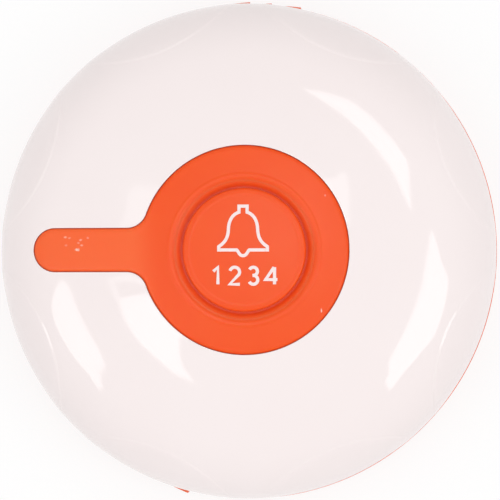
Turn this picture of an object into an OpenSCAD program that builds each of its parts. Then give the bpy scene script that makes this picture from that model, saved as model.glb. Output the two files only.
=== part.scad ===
// Waiter call button: a round domed bell push that twists onto a bayonet base on the table.
// Millimetres, +Z up. The origin is on the axis, on the face of the pad that meets the table.
// The tongue of the silicone keyhole points to -X and the printed bell stands up along +Y.

/* [Cover] */
// Diameter of the white cover at its rim
cover_d = 75; // [72:0.5:84]
// Wall of the cover
cover_wall = 2.2; // [1.8:0.1:2.4]
// Radius of the rounded shoulder
shoulder_r = 12; // [10:0.5:13]
// Height of the crown above the centre of the shoulder's arc
crown_rise = 15.5; // [14.5:0.25:16]
// Number of shallow facets round the shoulder
facet_count = 8; // [6:1:10]
// Radius of the arc that bounds each facet, seen from above
facet_arc_r = 24; // [20:0.5:28]
// How far the facet reaches in from the rim
facet_inset = 5.5; // [4.5:0.25:6.5]
// Depth of the crease at the facet's inner edge
facet_sink = 0.35; // [0.2:0.05:0.6]
// How far the facet stands back at the rim
facet_back = 0.12; // [0.05:0.01:0.2]

/* [Silicone keypad] */
// Diameter of the round part of the silicone keyhole
ring_d = 31; // [29:0.5:33]
// Width of the tongue
tongue_w = 6.45; // [5.5:0.05:8]
// Distance from the rim of the cover in to the centre of the tongue's round end
tongue_inset = 9.1; // [8.5:0.1:11]
// Radius of the fillets between the tongue and the ring
tongue_fillet = 3.1; // [2:0.1:4]
// Diameter of the push disc
disc_d = 18.3; // [16:0.1:19.5]
// Width of the groove round the disc
groove_w = 1.13; // [0.9:0.01:1.6]
// Thickness of the push disc at the axis
disc_t = 2.5; // [2:0.1:3.2]
// Radius of the disc's rounded edge
disc_edge_r = 0.6; // [0.3:0.05:0.8]
// Diameter of the stem under the disc
stem_d = 6; // [4:0.1:6.8]
// Length of the stem under the disc
stem_h = 0.9; // [0.7:0.05:1.4]
// Thickness of the flexible web in the groove
web_t = 0.5; // [0.3:0.05:0.8]
// Thickness of the flange behind the cover
flange_t = 1; // [0.7:0.05:1.2]
// Width of the flange round the keyhole
flange_w = 2; // [1.5:0.1:2.4]
// Thickness of the silicone left above the light
light_film = 1; // [0.6:0.05:1.4]
// Diameter of the pocket under the tongue for the light
light_pocket_d = 4.8; // [4.4:0.1:5.2]
// Gap between the silicone and the edge of the cover
keyhole_gap = 0.15; // [0.08:0.01:0.25]
// How far the disc travels when it is pushed
press_travel = 0.4; // [0.2:0.05:0.5]

/* [Printed marks] */
// Line width of the bell and the numbers
mark_line = 0.48; // [0.4:0.01:0.6]
// Thickness of the printed ink
ink_t = 0.05; // [0.03:0.01:0.1]
// Height of the numbers
digit_h = 3; // [2.4:0.05:3.2]
// Distance from one number to the next
digit_pitch = 2.75; // [2.5:0.05:3]
// Height of the middle of the row of numbers, measured along +Y
digit_y = -3.83; // [-4.2:0.01:-3.6]
// Size of the printed bell, as a share of its drawn size
bell_scale = 1; // [0.8:0.05:1.1]

/* [Base] */
// Height of the rim of the base above the table
base_h = 8.3; // [8.1:0.1:8.6]
// How far the base stands out past the cover all round
base_lip = 0.12; // [0.06:0.02:0.5]
// Wall of the base at its rim
base_wall = 2.7; // [2.5:0.05:3]
// Thickness of the floor over the pad
floor_t = 1.4; // [1.2:0.05:1.6]
// How far the foot of the base stands in from its rim
base_taper = 1.95; // [1:0.05:2.2]
// Height of the vertical band at the top of the base
base_band = 2.3; // [1.8:0.1:3]
// How far the small thumb catches stand out past the base
catch_rise = 0.24; // [0.2:0.02:0.6]
// Thickness of the rubber pad
pad_t = 1.2; // [0.8:0.05:1.4]
// How far the pad stands below the base
pad_proud = 0.5; // [0.3:0.05:0.7]
// Diameter of the rubber pad
pad_d = 58; // [54:0.5:60]
// Distance between the two table screws
screw_spacing = 40; // [36:0.5:42]
// Diameter of the table screw holes
screw_hole_d = 4.2; // [3.4:0.1:4.4]
// Diameter of the countersinks
screw_head_d = 8.2; // [7:0.1:8.4]
// Diameter of the bosses round the table screws
screw_boss_d = 12; // [10.5:0.1:13]
// Height of the bosses above the floor
screw_boss_h = 1.6; // [1.3:0.05:1.7]

/* [Bayonet] */
// Number of lugs and ribs
lug_count = 3; // [3:1:4]
// Angle that each lug of the base covers
lug_angle = 26; // [20:1:28]
// Angle that each rib of the cover covers
rib_angle = 24; // [18:1:26]
// Thickness of the lugs
lug_t = 1.2; // [1:0.05:1.3]
// Depth of the lugs from the wall of the base
lug_depth = 1.8; // [1.5:0.05:2]
// Thickness of the ribs
rib_t = 1.3; // [1:0.05:1.4]
// Depth from the rim of the base down to the top of the lugs
lug_drop = 2.2; // [2.1:0.05:2.4]
// Turning clearance between cover and base
turn_clear = 0.3; // [0.25:0.01:0.35]
// Wall of the skirt that hangs inside the base
skirt_t = 1.6; // [1.2:0.05:1.8]
// Depth of the groove for the sealing ring
seal_groove = 1.3; // [1.1:0.05:1.4]
// Height of the lip under the sealing ring
seal_lip = 0.5; // [0.4:0.05:0.6]
// Running clearance of the sealing ring on the base
seal_clear = 0.1; // [0.06:0.01:0.1]

/* [Electronics] */
// Diameter of the battery
battery_d = 10.3; // [10:0.1:10.6]
// Length of the battery with its nub
battery_l = 28.5; // [27.5:0.1:29]
// Length of the battery's nub
nub_l = 1; // [0.8:0.05:1.2]
// Thickness of the chassis plate
chassis_t = 1.2; // [1:0.05:1.5]
// Wall of the battery trough
trough_wall = 1.3; // [1:0.05:1.6]
// Thickness of the circuit board
board_t = 1.6; // [1:0.1:1.6]
// Height of the switch from the board to the top of its plunger
switch_h = 6; // [5.8:0.05:6.4]
// Side of the square switch
switch_w = 12; // [11.6:0.1:12.4]
// Height of the body of the switch
switch_body_h = 3.5; // [3.3:0.05:3.7]
// Diameter of the plunger
plunger_d = 6.8; // [6:0.1:7.2]
// Thickness of the clamp plate behind the silicone
clamp_t = 1.15; // [0.9:0.05:1.3]
// How far the clamp plate reaches past the keyhole
clamp_w = 5.5; // [5:0.1:6]
// Diameter of the cover's pegs that hold the clamp plate
peg_d = 1.6; // [1.4:0.05:1.8]
// Distance of the chassis screws from the edge of the board
screw_inset = 5; // [4.8:0.1:5.4]
// Diameter of the chassis screws
small_screw_d = 1.8; // [1.6:0.05:2.2]
// Length of the chassis screws under the head
small_screw_l = 6; // [5:0.1:6.2]

/* [Hidden] */

$fn = 96;
eps = 0.02;      // clearance between pieces that sit together without moving
fit = 0.08;      // radial clearance of a running fit
assembly = 0.2;  // clearance of pieces that only drop in
cut = 1;         // how far a cutting shape runs past the face that it cuts

// Heights, from the table up
floor_z = pad_t + floor_t;
battery_r = battery_d / 2;
battery_z = floor_z + 0.55 + battery_r;
chassis_z = battery_z + battery_r + 0.15;
board_z = chassis_z + chassis_t + assembly;
board_top = board_z + board_t;
plunger_top = board_top + switch_h;
disc_z = plunger_top + stem_h;
top_z = disc_z + disc_t;
cover_z = base_h + assembly;
ledge_z = cover_z + 1.9;

// Bayonet heights
lug_top = base_h - lug_drop;
lug_z = lug_top - lug_t;
rib_top = lug_z - turn_clear;
rib_z = rib_top - rib_t;
land_z = lug_top + turn_clear;
seal_z = land_z + seal_lip;
stop_gap = 0.6;    // degrees between the end of a lug and the block that stops it
stop_angle = 3.4;  // degrees that the block covers

// Radii, from the rim inwards
cover_r = cover_d / 2;
base_r = cover_r + base_lip;
base_in_r = base_r - base_wall;
lug_in_r = base_in_r - lug_depth;
land_r = base_in_r - turn_clear;
rib_r = land_r - 0.1;
skirt_r = lug_in_r - turn_clear;
skirt_in_r = skirt_r - skirt_t;
chassis_r = skirt_in_r - assembly;
board_r = chassis_r - 0.5;
groove_r = land_r - seal_groove;
seal_out_r = base_in_r - seal_clear;
seal_section_r = (seal_out_r - groove_r - eps) / 2;
small_screw_at = board_r - screw_inset;
small_screw_head_r = small_screw_d / 2 + 1.3;
small_screw_head_h = 1.2;
screw_tip_z = chassis_z + small_screw_l;
boss_r = small_screw_d / 2 + 1.7;

// The dome is a wide crown arc that meets the shoulder arc on one tangent
shoulder_x = cover_r - shoulder_r;
shoulder_z = top_z - crown_rise;
crown_r = (shoulder_x ^ 2 + crown_rise ^ 2 - shoulder_r ^ 2) / (2 * (crown_rise - shoulder_r));
crown_z = top_z - crown_r;
tangent = [shoulder_x, shoulder_z - crown_z] / norm([shoulder_x, shoulder_z - crown_z]);
facet_mid_r = cover_r - facet_inset;

// Silicone and what holds it
ring_r = ring_d / 2;
disc_r = disc_d / 2;
ring_in_r = disc_r + groove_w;
tongue_r = tongue_w / 2;
tongue_x = cover_r - tongue_inset;
pad_inset = cover_wall + flange_t;
clamp_inset = pad_inset + eps * 2.5;
clamp_hole_r = ring_in_r + 0.7;
peg_r = peg_d / 2;
peg_head_r = peg_r + 0.5;
peg_head_h = 0.4;
peg_ring_r = ring_r + flange_w + peg_r + 1;
peg_side_y = tongue_r + flange_w + peg_r + 0.85;
peg_side_x = tongue_x - 4.4;
peg_points = concat(
    [for (a = [0, 62, 118, -62, -118]) peg_ring_r * [cos(a), sin(a)]],
    [for (side = [-1, 1]) [-peg_side_x, side * peg_side_y]]
);

function peg_head_z(p) = dome_height(norm(p) + peg_head_r, clamp_inset + clamp_t) - eps - peg_head_h;

// Switch
plunger_r = plunger_d / 2;
switch_rise = 0.3;
switch_pin_r = 0.55;
bore_floor = board_top + switch_body_h - 1.2;
plunger_z = bore_floor + press_travel + assembly;
leg_x = switch_w / 2 + 0.2;
leg_pitch = 5;
leg_size = [0.3, 1];
leg_points = [for (x = [-leg_x, leg_x], y = [-leg_pitch, leg_pitch] / 2) [x, y]];
leg_hole_r = 0.75;
clip_size = [3, 0.3];
clip_z = 1.2;

// Battery and its contacts
battery_y0 = -battery_l / 2;
battery_y1 = battery_l / 2;
contact_t = 0.4;
spring_l = 2.6;
spring_r = 3.6;
spring_tip_r = 1.9;
spring_wire_r = 0.3;
plus_y = battery_y1 + eps;
minus_y = battery_y0 - eps * 2 - spring_l - contact_t;
trough_x = battery_r + 0.35;
trough_z = floor_z + 2.4;
trough_y0 = minus_y - 0.1;
trough_y1 = plus_y + contact_t + 0.1;
tab_w = 2.5;
tab_points = [for (y = [minus_y, plus_y]) [0, y + contact_t / 2]];
tab_slot = [tab_w + 0.6, contact_t + 0.5];

// Small parts on the board
led_size = [3.5, 2.8, 1.9];
chip_at = [0, -10.5];
chip_size = [8.65, 3.9, 1.45];
chip_lead_pitch = 1.27;
chip_part = [2, 1.25];
resistor_h = 0.5;
capacitor_h = 0.8;
coil_wire_r = 0.35;
coil_r = 1.45;
coil_l = 8;
coil_foot = [1.2, 1.6, 0.25];
coil_inset = 6.9;
coil_y = coil_inset - board_r;
resistor_points = [[10, -8], [10, -11], [10, -14], [-10, -8], [-10, -11], [-10, -14], [-20, -4.5]];
capacitor_points = [[12, 8], [15, 11], [8, 12], [-12, 8], [-15, 4]];

// Middle of the bell's line, down its right half, measured from the middle of the push disc
bell_x = -0.15;
bell_foot = [0, -0.87];
bell_half = concat(
    [[0.6, 6.45]],
    curve([0.6, 5.55], [1.5, 5.3], [2.1, 4.4], [2.16, 3.1]),
    curve([2.16, 3.1], [2.2, 1.5], [2.9, 0.95], [3.6, 0.46]),
    [[3.6, 0.46], [3.6, -0.02]],
    curve([0.95, -0.02], [0.7, -0.12], [0.6, bell_foot[1]], bell_foot)
);

// Colours
orange = "#f96738";
cover_white = "#f7ecea";
ink = "#f8e5de";
black_plastic = "#232326";
steel = "#c9ccd0";
board_green = "#1f6b45";
copper = "#c07a4a";

// ---- shared shapes ----

// Height of the dome, sunk by inset, at distance r from the axis
function dome_height(r, inset) =
    r < tangent[0] * (crown_r - inset)
        ? crown_z + sqrt((crown_r - inset) ^ 2 - r ^ 2)
        : shoulder_z + sqrt((shoulder_r - inset) ^ 2 - (r - shoulder_x) ^ 2);

// Half section of the dome, sunk by inset, down to the height low
module dome_section(inset, low) {
    reach = 3 * cover_r;
    centre = [shoulder_x, shoulder_z];
    difference() {
        intersection() {
            translate([0, crown_z]) circle(crown_r - inset, $fn = 360);
            translate([0, low]) square([cover_r - inset, top_z - inset - low]);
        }
        difference() {
            polygon([centre, centre + [reach, 0], centre + [reach, reach], centre + reach * tangent]);
            translate(centre) circle(shoulder_r - inset);
        }
    }
}

module dome(inset, low) {
    rotate_extrude() dome_section(inset, low);
}

// The layer between two depths under the dome
module dome_layer(top_inset, bottom_inset, low) {
    rotate_extrude() difference() {
        dome_section(top_inset, low);
        dome_section(bottom_inset, low - cut);
    }
}

// A round outline with flat sides, which cuts through the shoulder without trouble
module sided_round(r) {
    polygon([for (a = [0:10:350]) r * [cos(a), sin(a)]]);
}

// Outline of the keyhole, grown by grow
module keyhole(grow) {
    half = tongue_r + grow;
    round_r = ring_r + grow;
    fillet = max(tongue_fillet - grow, 0.5);
    fillet_x = sqrt((round_r + fillet) ^ 2 - (half + fillet) ^ 2);
    centre = [-fillet_x, half + fillet];
    circle(round_r);
    translate([-tongue_x, 0]) sided_round(half);
    translate([-tongue_x, -half]) square([tongue_x, 2 * half]);
    for (side = [0, 1]) mirror([0, side]) difference() {
        polygon([[-fillet_x, 0], [0, 0], centre]);
        translate(centre) sided_round(fillet);
    }
}

module keyhole_prism(grow) {
    translate([0, 0, cover_z]) linear_extrude(top_z) keyhole(grow);
}

// A wedge of the plane between two angles less than 180 degrees apart
module wedge(from, to, reach) {
    middle = (from + to) / 2;
    polygon([
        [0, 0],
        reach * [cos(from), sin(from)],
        2 * reach * [cos(middle), sin(middle)],
        reach * [cos(to), sin(to)]
    ]);
}

module ring_sector(r_in, r_out, from, to) {
    intersection() {
        difference() {
            circle(r_out);
            circle(r_in);
        }
        wedge(from, to, 2 * r_out);
    }
}

module at_screws() {
    for (a = [45:90:315]) rotate(a) translate([small_screw_at, 0]) children();
}

module at_points(points) {
    for (p = points) translate([p[0], p[1]]) children();
}

// A wire wound along +Z, from radius r0 to radius r1
module wound_wire(r0, r1, length, turns, wire_r, steps, sides) {
    n = turns * steps;
    points = [
        for (i = [0:n], j = [0:sides - 1])
            let (
                a = 360 * i / steps,
                r = r0 + (r1 - r0) * i / n + wire_r * cos(360 * j / sides),
                z = length * i / n + wire_r * sin(360 * j / sides)
            )
            [r * cos(a), r * sin(a), z]
    ];
    walls = [
        for (i = [0:n - 1], j = [0:sides - 1], half = [0, 1])
            let (k = (j + 1) % sides, near = i * sides, far = near + sides)
            half == 0 ? [near + j, far + k, far + j] : [near + j, near + k, far + k]
    ];
    ends = [[for (j = [sides - 1:-1:0]) j], [for (j = [0:sides - 1]) n * sides + j]];
    polyhedron(points, concat(walls, ends), convexity = 10);
}

// A straight stroke with round ends
module bar(a, b) {
    run = b - a;
    translate(a) rotate(atan2(run[1], run[0])) translate([0, -mark_line / 2]) square([norm(run), mark_line]);
    at_points([a, b]) circle(mark_line / 2, $fn = 24);
}

// A curved stroke with round ends, drawn in steps of less than 180 degrees
module arc(centre, r, from, to) {
    middle = (from + to) / 2;
    translate(centre) {
        ring_sector(r - mark_line / 2, r + mark_line / 2, from, middle);
        ring_sector(r - mark_line / 2, r + mark_line / 2, middle, to);
        at_points([for (a = [from, to]) r * [cos(a), sin(a)]]) circle(mark_line / 2, $fn = 24);
    }
}

// Ink of a given outline on the crown
module ink_film() {
    intersection() {
        translate([0, 0, disc_z]) linear_extrude(disc_t + cut) children();
        dome_layer(-ink_t, 0, disc_z);
    }
}

// ---- base ----

// A thumb catch that rises from under the rim near the angle from to its full height at the angle to
module catch_ramp(from, to, rise) {
    bury = 0.1;
    side = to > from ? 90 : -90;
    shift = (rise + bury) / sin(abs(to - from));
    intersection() {
        rotate(from + side) translate([shift, 0]) circle(norm([base_r, shift]) - bury);
        difference() {
            wedge(min(from, to), max(from, to), 2 * base_r);
            circle(base_in_r + turn_clear);
        }
    }
}

module base() {
    foot_r = base_r - base_taper;
    color(orange) difference() {
        union() {
            rotate_extrude() difference() {
                polygon([
                    [0, pad_proud],
                    [foot_r - 0.8, pad_proud],
                    [foot_r, pad_proud + 0.8],
                    [base_r, base_h - base_band],
                    [base_r, base_h],
                    [0, base_h]
                ]);
                translate([0, floor_z]) square([base_in_r, base_h]);
                translate([0, pad_proud - cut]) square([pad_d / 2 + turn_clear, pad_t - pad_proud + cut]);
            }
            for (x = [-1, 1] * screw_spacing / 2)
                translate([x, 0, floor_z - floor_t / 2])
                    cylinder(d = screw_boss_d, h = floor_t / 2 + screw_boss_h);
            for (i = [0:lug_count - 1]) {
                translate([0, 0, lug_z]) linear_extrude(lug_t) rotate(i * 360 / lug_count)
                    ring_sector(lug_in_r, base_in_r + turn_clear, -lug_angle / 2, lug_angle / 2);
            }
            translate([0, 0, base_h - base_band - 1.7]) linear_extrude(base_band + 1.7) {
                catch_ramp(98.5, 89.8, catch_rise);
                catch_ramp(89.2, 84.8, catch_rise * 0.8);
                catch_ramp(84.2, 78, catch_rise);
                catch_ramp(-109, -104.2, catch_rise * 1.5);
            }
        }
        for (x = [-1, 1] * screw_spacing / 2) {
            sink_h = (screw_head_d - screw_hole_d) / 4;
            translate([x, 0, 0]) cylinder(d = screw_hole_d, h = base_h);
            translate([x, 0, floor_z + screw_boss_h - sink_h])
                cylinder(d1 = screw_hole_d, d2 = screw_head_d, h = sink_h + 0.001);
        }
    }
}

module non_slip_pad() {
    color("#3a3a3c") linear_extrude(pad_t) difference() {
        circle(d = pad_d);
        for (x = [-1, 1] * screw_spacing / 2) translate([x, 0]) circle(d = screw_head_d + 0.8);
    }
}

module seal_ring() {
    color("#2b2b2d") rotate_extrude()
        translate([seal_out_r - seal_section_r, (seal_z + cover_z) / 2]) circle(seal_section_r);
}

// ---- cover ----

// What is cut off the full dome to leave one facet
module facet_cut() {
    difference() {
        translate([facet_mid_r + facet_arc_r, 0, cover_z + eps]) cylinder(r = facet_arc_r, h = top_z);
        translate([0, 0, -facet_sink]) dome(facet_back, cover_z - cut);
    }
}

module cover_shell() {
    difference() {
        rotate_extrude() difference() {
            union() {
                dome_section(0, cover_z);
                translate([0, rib_z]) square([skirt_r, cover_z - rib_z]);
                translate([0, land_z]) square([land_r, cover_z - land_z]);
            }
            dome_section(cover_wall, ledge_z);
            translate([0, rib_z - cut]) square([skirt_in_r, ledge_z - rib_z + 2 * cut]);
            translate([groove_r, seal_z]) square([cover_r, cover_z - seal_z]);
        }
        for (i = [0:facet_count - 1]) rotate((i + 0.5) * 360 / facet_count) facet_cut();
        keyhole_prism(keyhole_gap);
    }
}

// Ribs that turn in under the lugs, each with a block that stops it against the end of its lug
module cover_ribs() {
    for (i = [0:lug_count - 1]) rotate(i * 360 / lug_count) translate([0, 0, rib_z]) {
        linear_extrude(rib_t) ring_sector(skirt_r - turn_clear, rib_r, -rib_angle / 2, rib_angle / 2);
        linear_extrude(land_z + seal_lip / 2 - rib_z) rotate(lug_angle / 2 + stop_gap)
            ring_sector(skirt_r - turn_clear, rib_r, 0, stop_angle);
    }
}

// Bosses for the chassis screws and pegs for the clamp plate, which hang from the dome
module cover_posts() {
    intersection() {
        union() {
            at_screws() translate([0, 0, board_top]) cylinder(r = boss_r, h = top_z);
            for (p = peg_points) translate([p[0], p[1], peg_head_z(p)]) cylinder(r = peg_r, h = top_z);
        }
        dome(cover_wall / 2, board_top - cut);
    }
    for (p = peg_points) translate([p[0], p[1], peg_head_z(p)]) cylinder(r = peg_head_r, h = peg_head_h);
}

module top_cover() {
    color(cover_white) difference() {
        union() {
            cover_shell();
            cover_ribs();
            cover_posts();
        }
        at_screws() translate([0, 0, board_top - cut])
            cylinder(r = small_screw_d / 2 + 2 * eps, h = screw_tip_z + 2 * assembly - board_top + cut);
    }
}

// ---- silicone keypad ----

// The space above the light
module light_shaft(r) {
    translate([-tongue_x, 0, board_top]) linear_extrude(top_z) sided_round(r);
}

module rubber_surround() {
    color(orange) difference() {
        union() {
            intersection() {
                keyhole_prism(0);
                dome_layer(0, pad_inset, cover_z);
            }
            intersection() {
                keyhole_prism(flange_w);
                dome_layer(cover_wall, pad_inset, cover_z);
            }
        }
        translate([0, 0, board_top]) cylinder(r = ring_in_r, h = top_z);
        intersection() {
            light_shaft(light_pocket_d / 2);
            dome(light_film, cover_z);
        }
    }
}

module flex_web() {
    color("#e1411e") translate([0, 0, disc_z]) linear_extrude(web_t) difference() {
        circle(ring_in_r - eps);
        circle(disc_r + eps);
    }
}

module push_disc() {
    edge_at = [disc_r - disc_edge_r, dome_height(disc_r - disc_edge_r, 0) - disc_edge_r];
    color(orange) rotate_extrude() {
        difference() {
            intersection() {
                dome_section(0, disc_z);
                square([disc_r, top_z]);
            }
            difference() {
                translate(edge_at) square(disc_edge_r + cut);
                translate(edge_at) circle(disc_edge_r);
            }
        }
        translate([0, plunger_top]) square([stem_d / 2, stem_h + web_t]);
    }
}

// The plate leaves room for the screw bosses and the antenna coil
module clamp_plate() {
    clear_l = coil_l + coil_foot[0] + 2 * assembly;
    clear_w = 2 * (coil_r + coil_wire_r + assembly);
    color("#d9d6cf") difference() {
        intersection() {
            keyhole_prism(clamp_w);
            dome_layer(clamp_inset, clamp_inset + clamp_t, board_top + 2 * assembly);
        }
        translate([0, 0, board_top]) cylinder(r = clamp_hole_r, h = top_z);
        light_shaft(light_pocket_d / 2 + 0.6);
        at_points(peg_points) translate([0, 0, board_top]) cylinder(r = peg_r + fit, h = top_z);
        at_screws() translate([0, 0, board_top]) cylinder(r = boss_r + assembly, h = top_z);
        translate([-clear_l / 2, coil_y - clear_w / 2, board_top]) cube([clear_l, clear_w, top_z]);
    }
}

// ---- printed marks ----

// Points along a cubic curve, without its last point
function curve(a, b, c, d, steps = 5) = [
    for (i = [0:steps - 1])
        let (t = i / steps, s = 1 - t)
            s ^ 3 * a + 3 * s ^ 2 * t * b + 3 * s * t ^ 2 * c + t ^ 3 * d
];

// Direction out of a path that runs counterclockwise, across its edge from a to b
function edge_normal(a, b) = [b[1] - a[1], a[0] - b[0]] / norm(b - a);

// A closed counterclockwise path, moved out by d
function grown(path, d) = [
    for (i = [0:len(path) - 1])
        let (
            n = len(path),
            before = edge_normal(path[(i + n - 1) % n], path[i]),
            after = edge_normal(path[i], path[(i + 1) % n])
        )
            path[i] + d * (before + after) / (1 + before * after)
];

module bell_drawing() {
    left = [for (p = bell_half) [-p[0], p[1]]];
    right = [for (i = [len(bell_half) - 1:-1:0]) bell_half[i]];
    path = bell_scale * concat(left, [bell_foot], right);
    difference() {
        polygon(grown(path, mark_line / 2));
        polygon(grown(path, -mark_line / 2));
    }
}

module bell_mark() {
    color(ink) ink_film() translate([bell_x, 0]) bell_drawing();
}

// Each number is drawn about its own middle, between the heights -h and h
module number_one(w, h) {
    bar([w * 0.35, -h], [w * 0.35, h]);
    bar([-w * 0.55, h * 0.5], [w * 0.35, h]);
}

module number_two(w, h) {
    r = w * 0.95;
    arc([0, h - r], r, -30, 165);
    bar([r * cos(-30), h - r + r * sin(-30)], [-w, -h]);
    bar([-w, -h], [w, -h]);
}

module number_three(w, h) {
    top_r = h * 0.48;
    low_r = h - top_r;
    arc([0, h - top_r], top_r, -90, 155);
    arc([0, low_r - h], low_r, -155, 90);
}

module number_four(w, h) {
    bar([w * 0.4, -h], [w * 0.4, h]);
    bar([w * 0.4, h], [-w, -h * 0.4]);
    bar([-w, -h * 0.4], [w, -h * 0.4]);
}

module number_mark() {
    h = (digit_h - mark_line) / 2;
    w = h * 0.6;
    color(ink) ink_film() translate([0, digit_y]) {
        translate([-1.5 * digit_pitch, 0]) number_one(w, h);
        translate([-0.5 * digit_pitch, 0]) number_two(w, h);
        translate([0.5 * digit_pitch, 0]) number_three(w, h);
        translate([1.5 * digit_pitch, 0]) number_four(w, h);
    }
}

// ---- chassis ----

module trough_block(grow, low) {
    translate([-trough_x - grow, trough_y0 - grow, low])
        cube([2 * (trough_x + grow), trough_y1 - trough_y0 + 2 * grow, chassis_z - low]);
}

// Ridges that the battery snaps past
module trough_ridges() {
    for (side = [0, 1]) mirror([side, 0, 0])
        translate([trough_x - 0.65, -4, trough_z]) cube([0.65 + eps, 8, 1]);
}

module chassis() {
    color("#e9e6e0") difference() {
        union() {
            translate([0, 0, chassis_z]) cylinder(r = chassis_r, h = chassis_t);
            translate([0, 0, chassis_z - 1]) linear_extrude(1 + eps) difference() {
                circle(chassis_r);
                circle(chassis_r - 1.5);
            }
            at_screws() translate([0, 0, chassis_z]) cylinder(r = boss_r + 0.4, h = board_z - chassis_z);
            difference() {
                trough_block(trough_wall, trough_z);
                trough_block(0, trough_z - cut);
            }
            trough_ridges();
        }
        at_screws() translate([0, 0, chassis_z - cut]) cylinder(r = small_screw_d / 2 + 0.25, h = board_z);
        translate([0, 0, chassis_z - cut]) linear_extrude(board_z)
            at_points(tab_points) square(tab_slot, true);
        at_points(leg_points) translate([0, 0, chassis_z + 0.4]) cylinder(r = 1, h = chassis_t);
    }
}

module chassis_screws() {
    color(steel) at_screws() translate([0, 0, chassis_z]) difference() {
        union() {
            cylinder(d = small_screw_d, h = small_screw_l);
            translate([0, 0, -small_screw_head_h]) cylinder(r = small_screw_head_r, h = small_screw_head_h);
        }
        for (a = [0, 90]) rotate(a) translate([0, 0, -small_screw_head_h]) cube([2.4, 0.5, 1.2], true);
    }
}

// ---- circuit board and what is on it ----

module circuit_board() {
    color(board_green) translate([0, 0, board_z]) linear_extrude(board_t) difference() {
        circle(board_r);
        at_screws() circle(small_screw_d / 2 + 0.25);
        at_points(leg_points) circle(leg_hole_r);
        at_points(tab_points) square(tab_slot, true);
    }
}

// The four pins that hold the switch's cover
module at_switch_pins() {
    pin_at = switch_w / 2 - 1.2;
    for (x = [-pin_at, pin_at], y = [-pin_at, pin_at]) translate([x, y]) children();
}

module switch_body() {
    color(black_plastic) translate([0, 0, board_top]) difference() {
        union() {
            translate([-switch_w / 2, -switch_w / 2, 0]) cube([switch_w, switch_w, switch_body_h]);
            at_switch_pins() cylinder(r = switch_pin_r, h = switch_body_h + switch_rise + 0.25);
        }
        translate([0, 0, bore_floor - board_top]) cylinder(r = plunger_r + fit, h = switch_h);
    }
}

module switch_cover() {
    side = switch_w + eps;
    color(steel) translate([0, 0, board_top]) difference() {
        union() {
            translate([-side / 2, -side / 2, switch_body_h]) cube([side, side, switch_rise]);
            for (flip = [0, 1]) mirror([0, flip, 0])
                translate([-clip_size[0] / 2, side / 2, clip_z])
                    cube([clip_size[0], clip_size[1], switch_body_h + switch_rise - clip_z]);
        }
        cylinder(r = plunger_r + fit, h = switch_h);
        at_switch_pins() cylinder(r = switch_pin_r + eps, h = switch_h);
    }
}

module switch_plunger() {
    color("#c9352c") translate([0, 0, plunger_z]) cylinder(r = plunger_r, h = plunger_top - plunger_z);
}

module switch_legs() {
    leg_z = board_z - 0.8;
    leg_h = board_top + 1.6 - leg_z;
    color(steel) at_points(leg_points) translate([-leg_size[0] / 2, -leg_size[1] / 2, leg_z])
        cube([leg_size[0], leg_size[1], leg_h]);
}

// The cup in the light's body and the clear filling that sits in it
module led_cup(grow) {
    depth = 1.2;
    translate([-tongue_x, 0, board_top + led_size[2] - depth])
        cylinder(r1 = 0.8 + grow, r2 = 1.2 + grow, h = depth);
}

module led_body() {
    color("#f4f1ea") difference() {
        translate([-tongue_x - led_size[0] / 2, -led_size[1] / 2, board_top]) cube(led_size);
        translate([0, 0, eps]) led_cup(0);
        led_cup(0);
    }
}

module led_lens() {
    color("#ffe9a8") translate([0, 0, eps]) led_cup(-eps);
}

module encoder_chip() {
    color(black_plastic) translate([chip_at[0], chip_at[1], board_top + 0.1]) difference() {
        translate([-chip_size[0] / 2, -chip_size[1] / 2, 0]) cube(chip_size);
        translate([1 - chip_size[0] / 2, -1, chip_size[2] - 0.1]) cylinder(r = 0.35, h = cut);
    }
}

module encoder_leads() {
    sheet = 0.15;
    knee = 0.75;
    reach = chip_size[1] / 2 + eps;
    color(steel) for (flip = [0, 1], i = [-3:3])
        translate([chip_at[0] + i * chip_lead_pitch - 0.2, chip_at[1], board_top])
            mirror([0, flip, 0]) rotate([90, 0, 90]) linear_extrude(0.4) polygon([
                [reach, knee],
                [reach, knee + sheet],
                [reach + 0.5 + sheet, knee + sheet],
                [reach + 0.5 + sheet, sheet],
                [reach + 1.05, sheet],
                [reach + 1.05, 0],
                [reach + 0.5, 0],
                [reach + 0.5, knee]
            ]);
}

module rf_transistor() {
    color(black_plastic) translate([14, 3.6, board_top]) {
        translate([-1.45, -0.65, 0.1]) cube([2.9, 1.3, 1]);
        for (x = [-0.95, 0.95]) translate([x - 0.2, -1.25, 0]) cube([0.4, 0.7, 0.2]);
        translate([-0.2, 0.55, 0]) cube([0.4, 0.7, 0.2]);
    }
}

module saw_resonator() {
    color("#b9b4a6") translate([14, -2, board_top]) {
        translate([-2.5, -1.75, 0]) cube([5, 3.5, 1]);
        translate([-2.3, -1.55, 1]) cube([4.6, 3.1, 0.4]);
    }
}

module antenna_coil() {
    axis_z = board_top + coil_foot[2] + coil_r + coil_wire_r;
    color(copper) {
        translate([-coil_l / 2, coil_y, axis_z]) rotate([0, 90, 0])
            wound_wire(coil_r, coil_r, coil_l, 6, coil_wire_r, 12, 6);
        for (end = [-1, 1]) translate([end * coil_l / 2, coil_y, board_top + coil_foot[2] / 2 - eps])
            cube(coil_foot - [0, 0, 2 * eps], true);
    }
}

module chip_parts(points, h) {
    at_points(points) translate([-chip_part[0] / 2, -chip_part[1] / 2, board_top])
        cube([chip_part[0], chip_part[1], h]);
}

module chip_resistors() {
    color("#2a2a2e") chip_parts(resistor_points, resistor_h);
}

module chip_capacitors() {
    color("#b08a5a") chip_parts(capacitor_points, capacitor_h);
}

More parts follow.
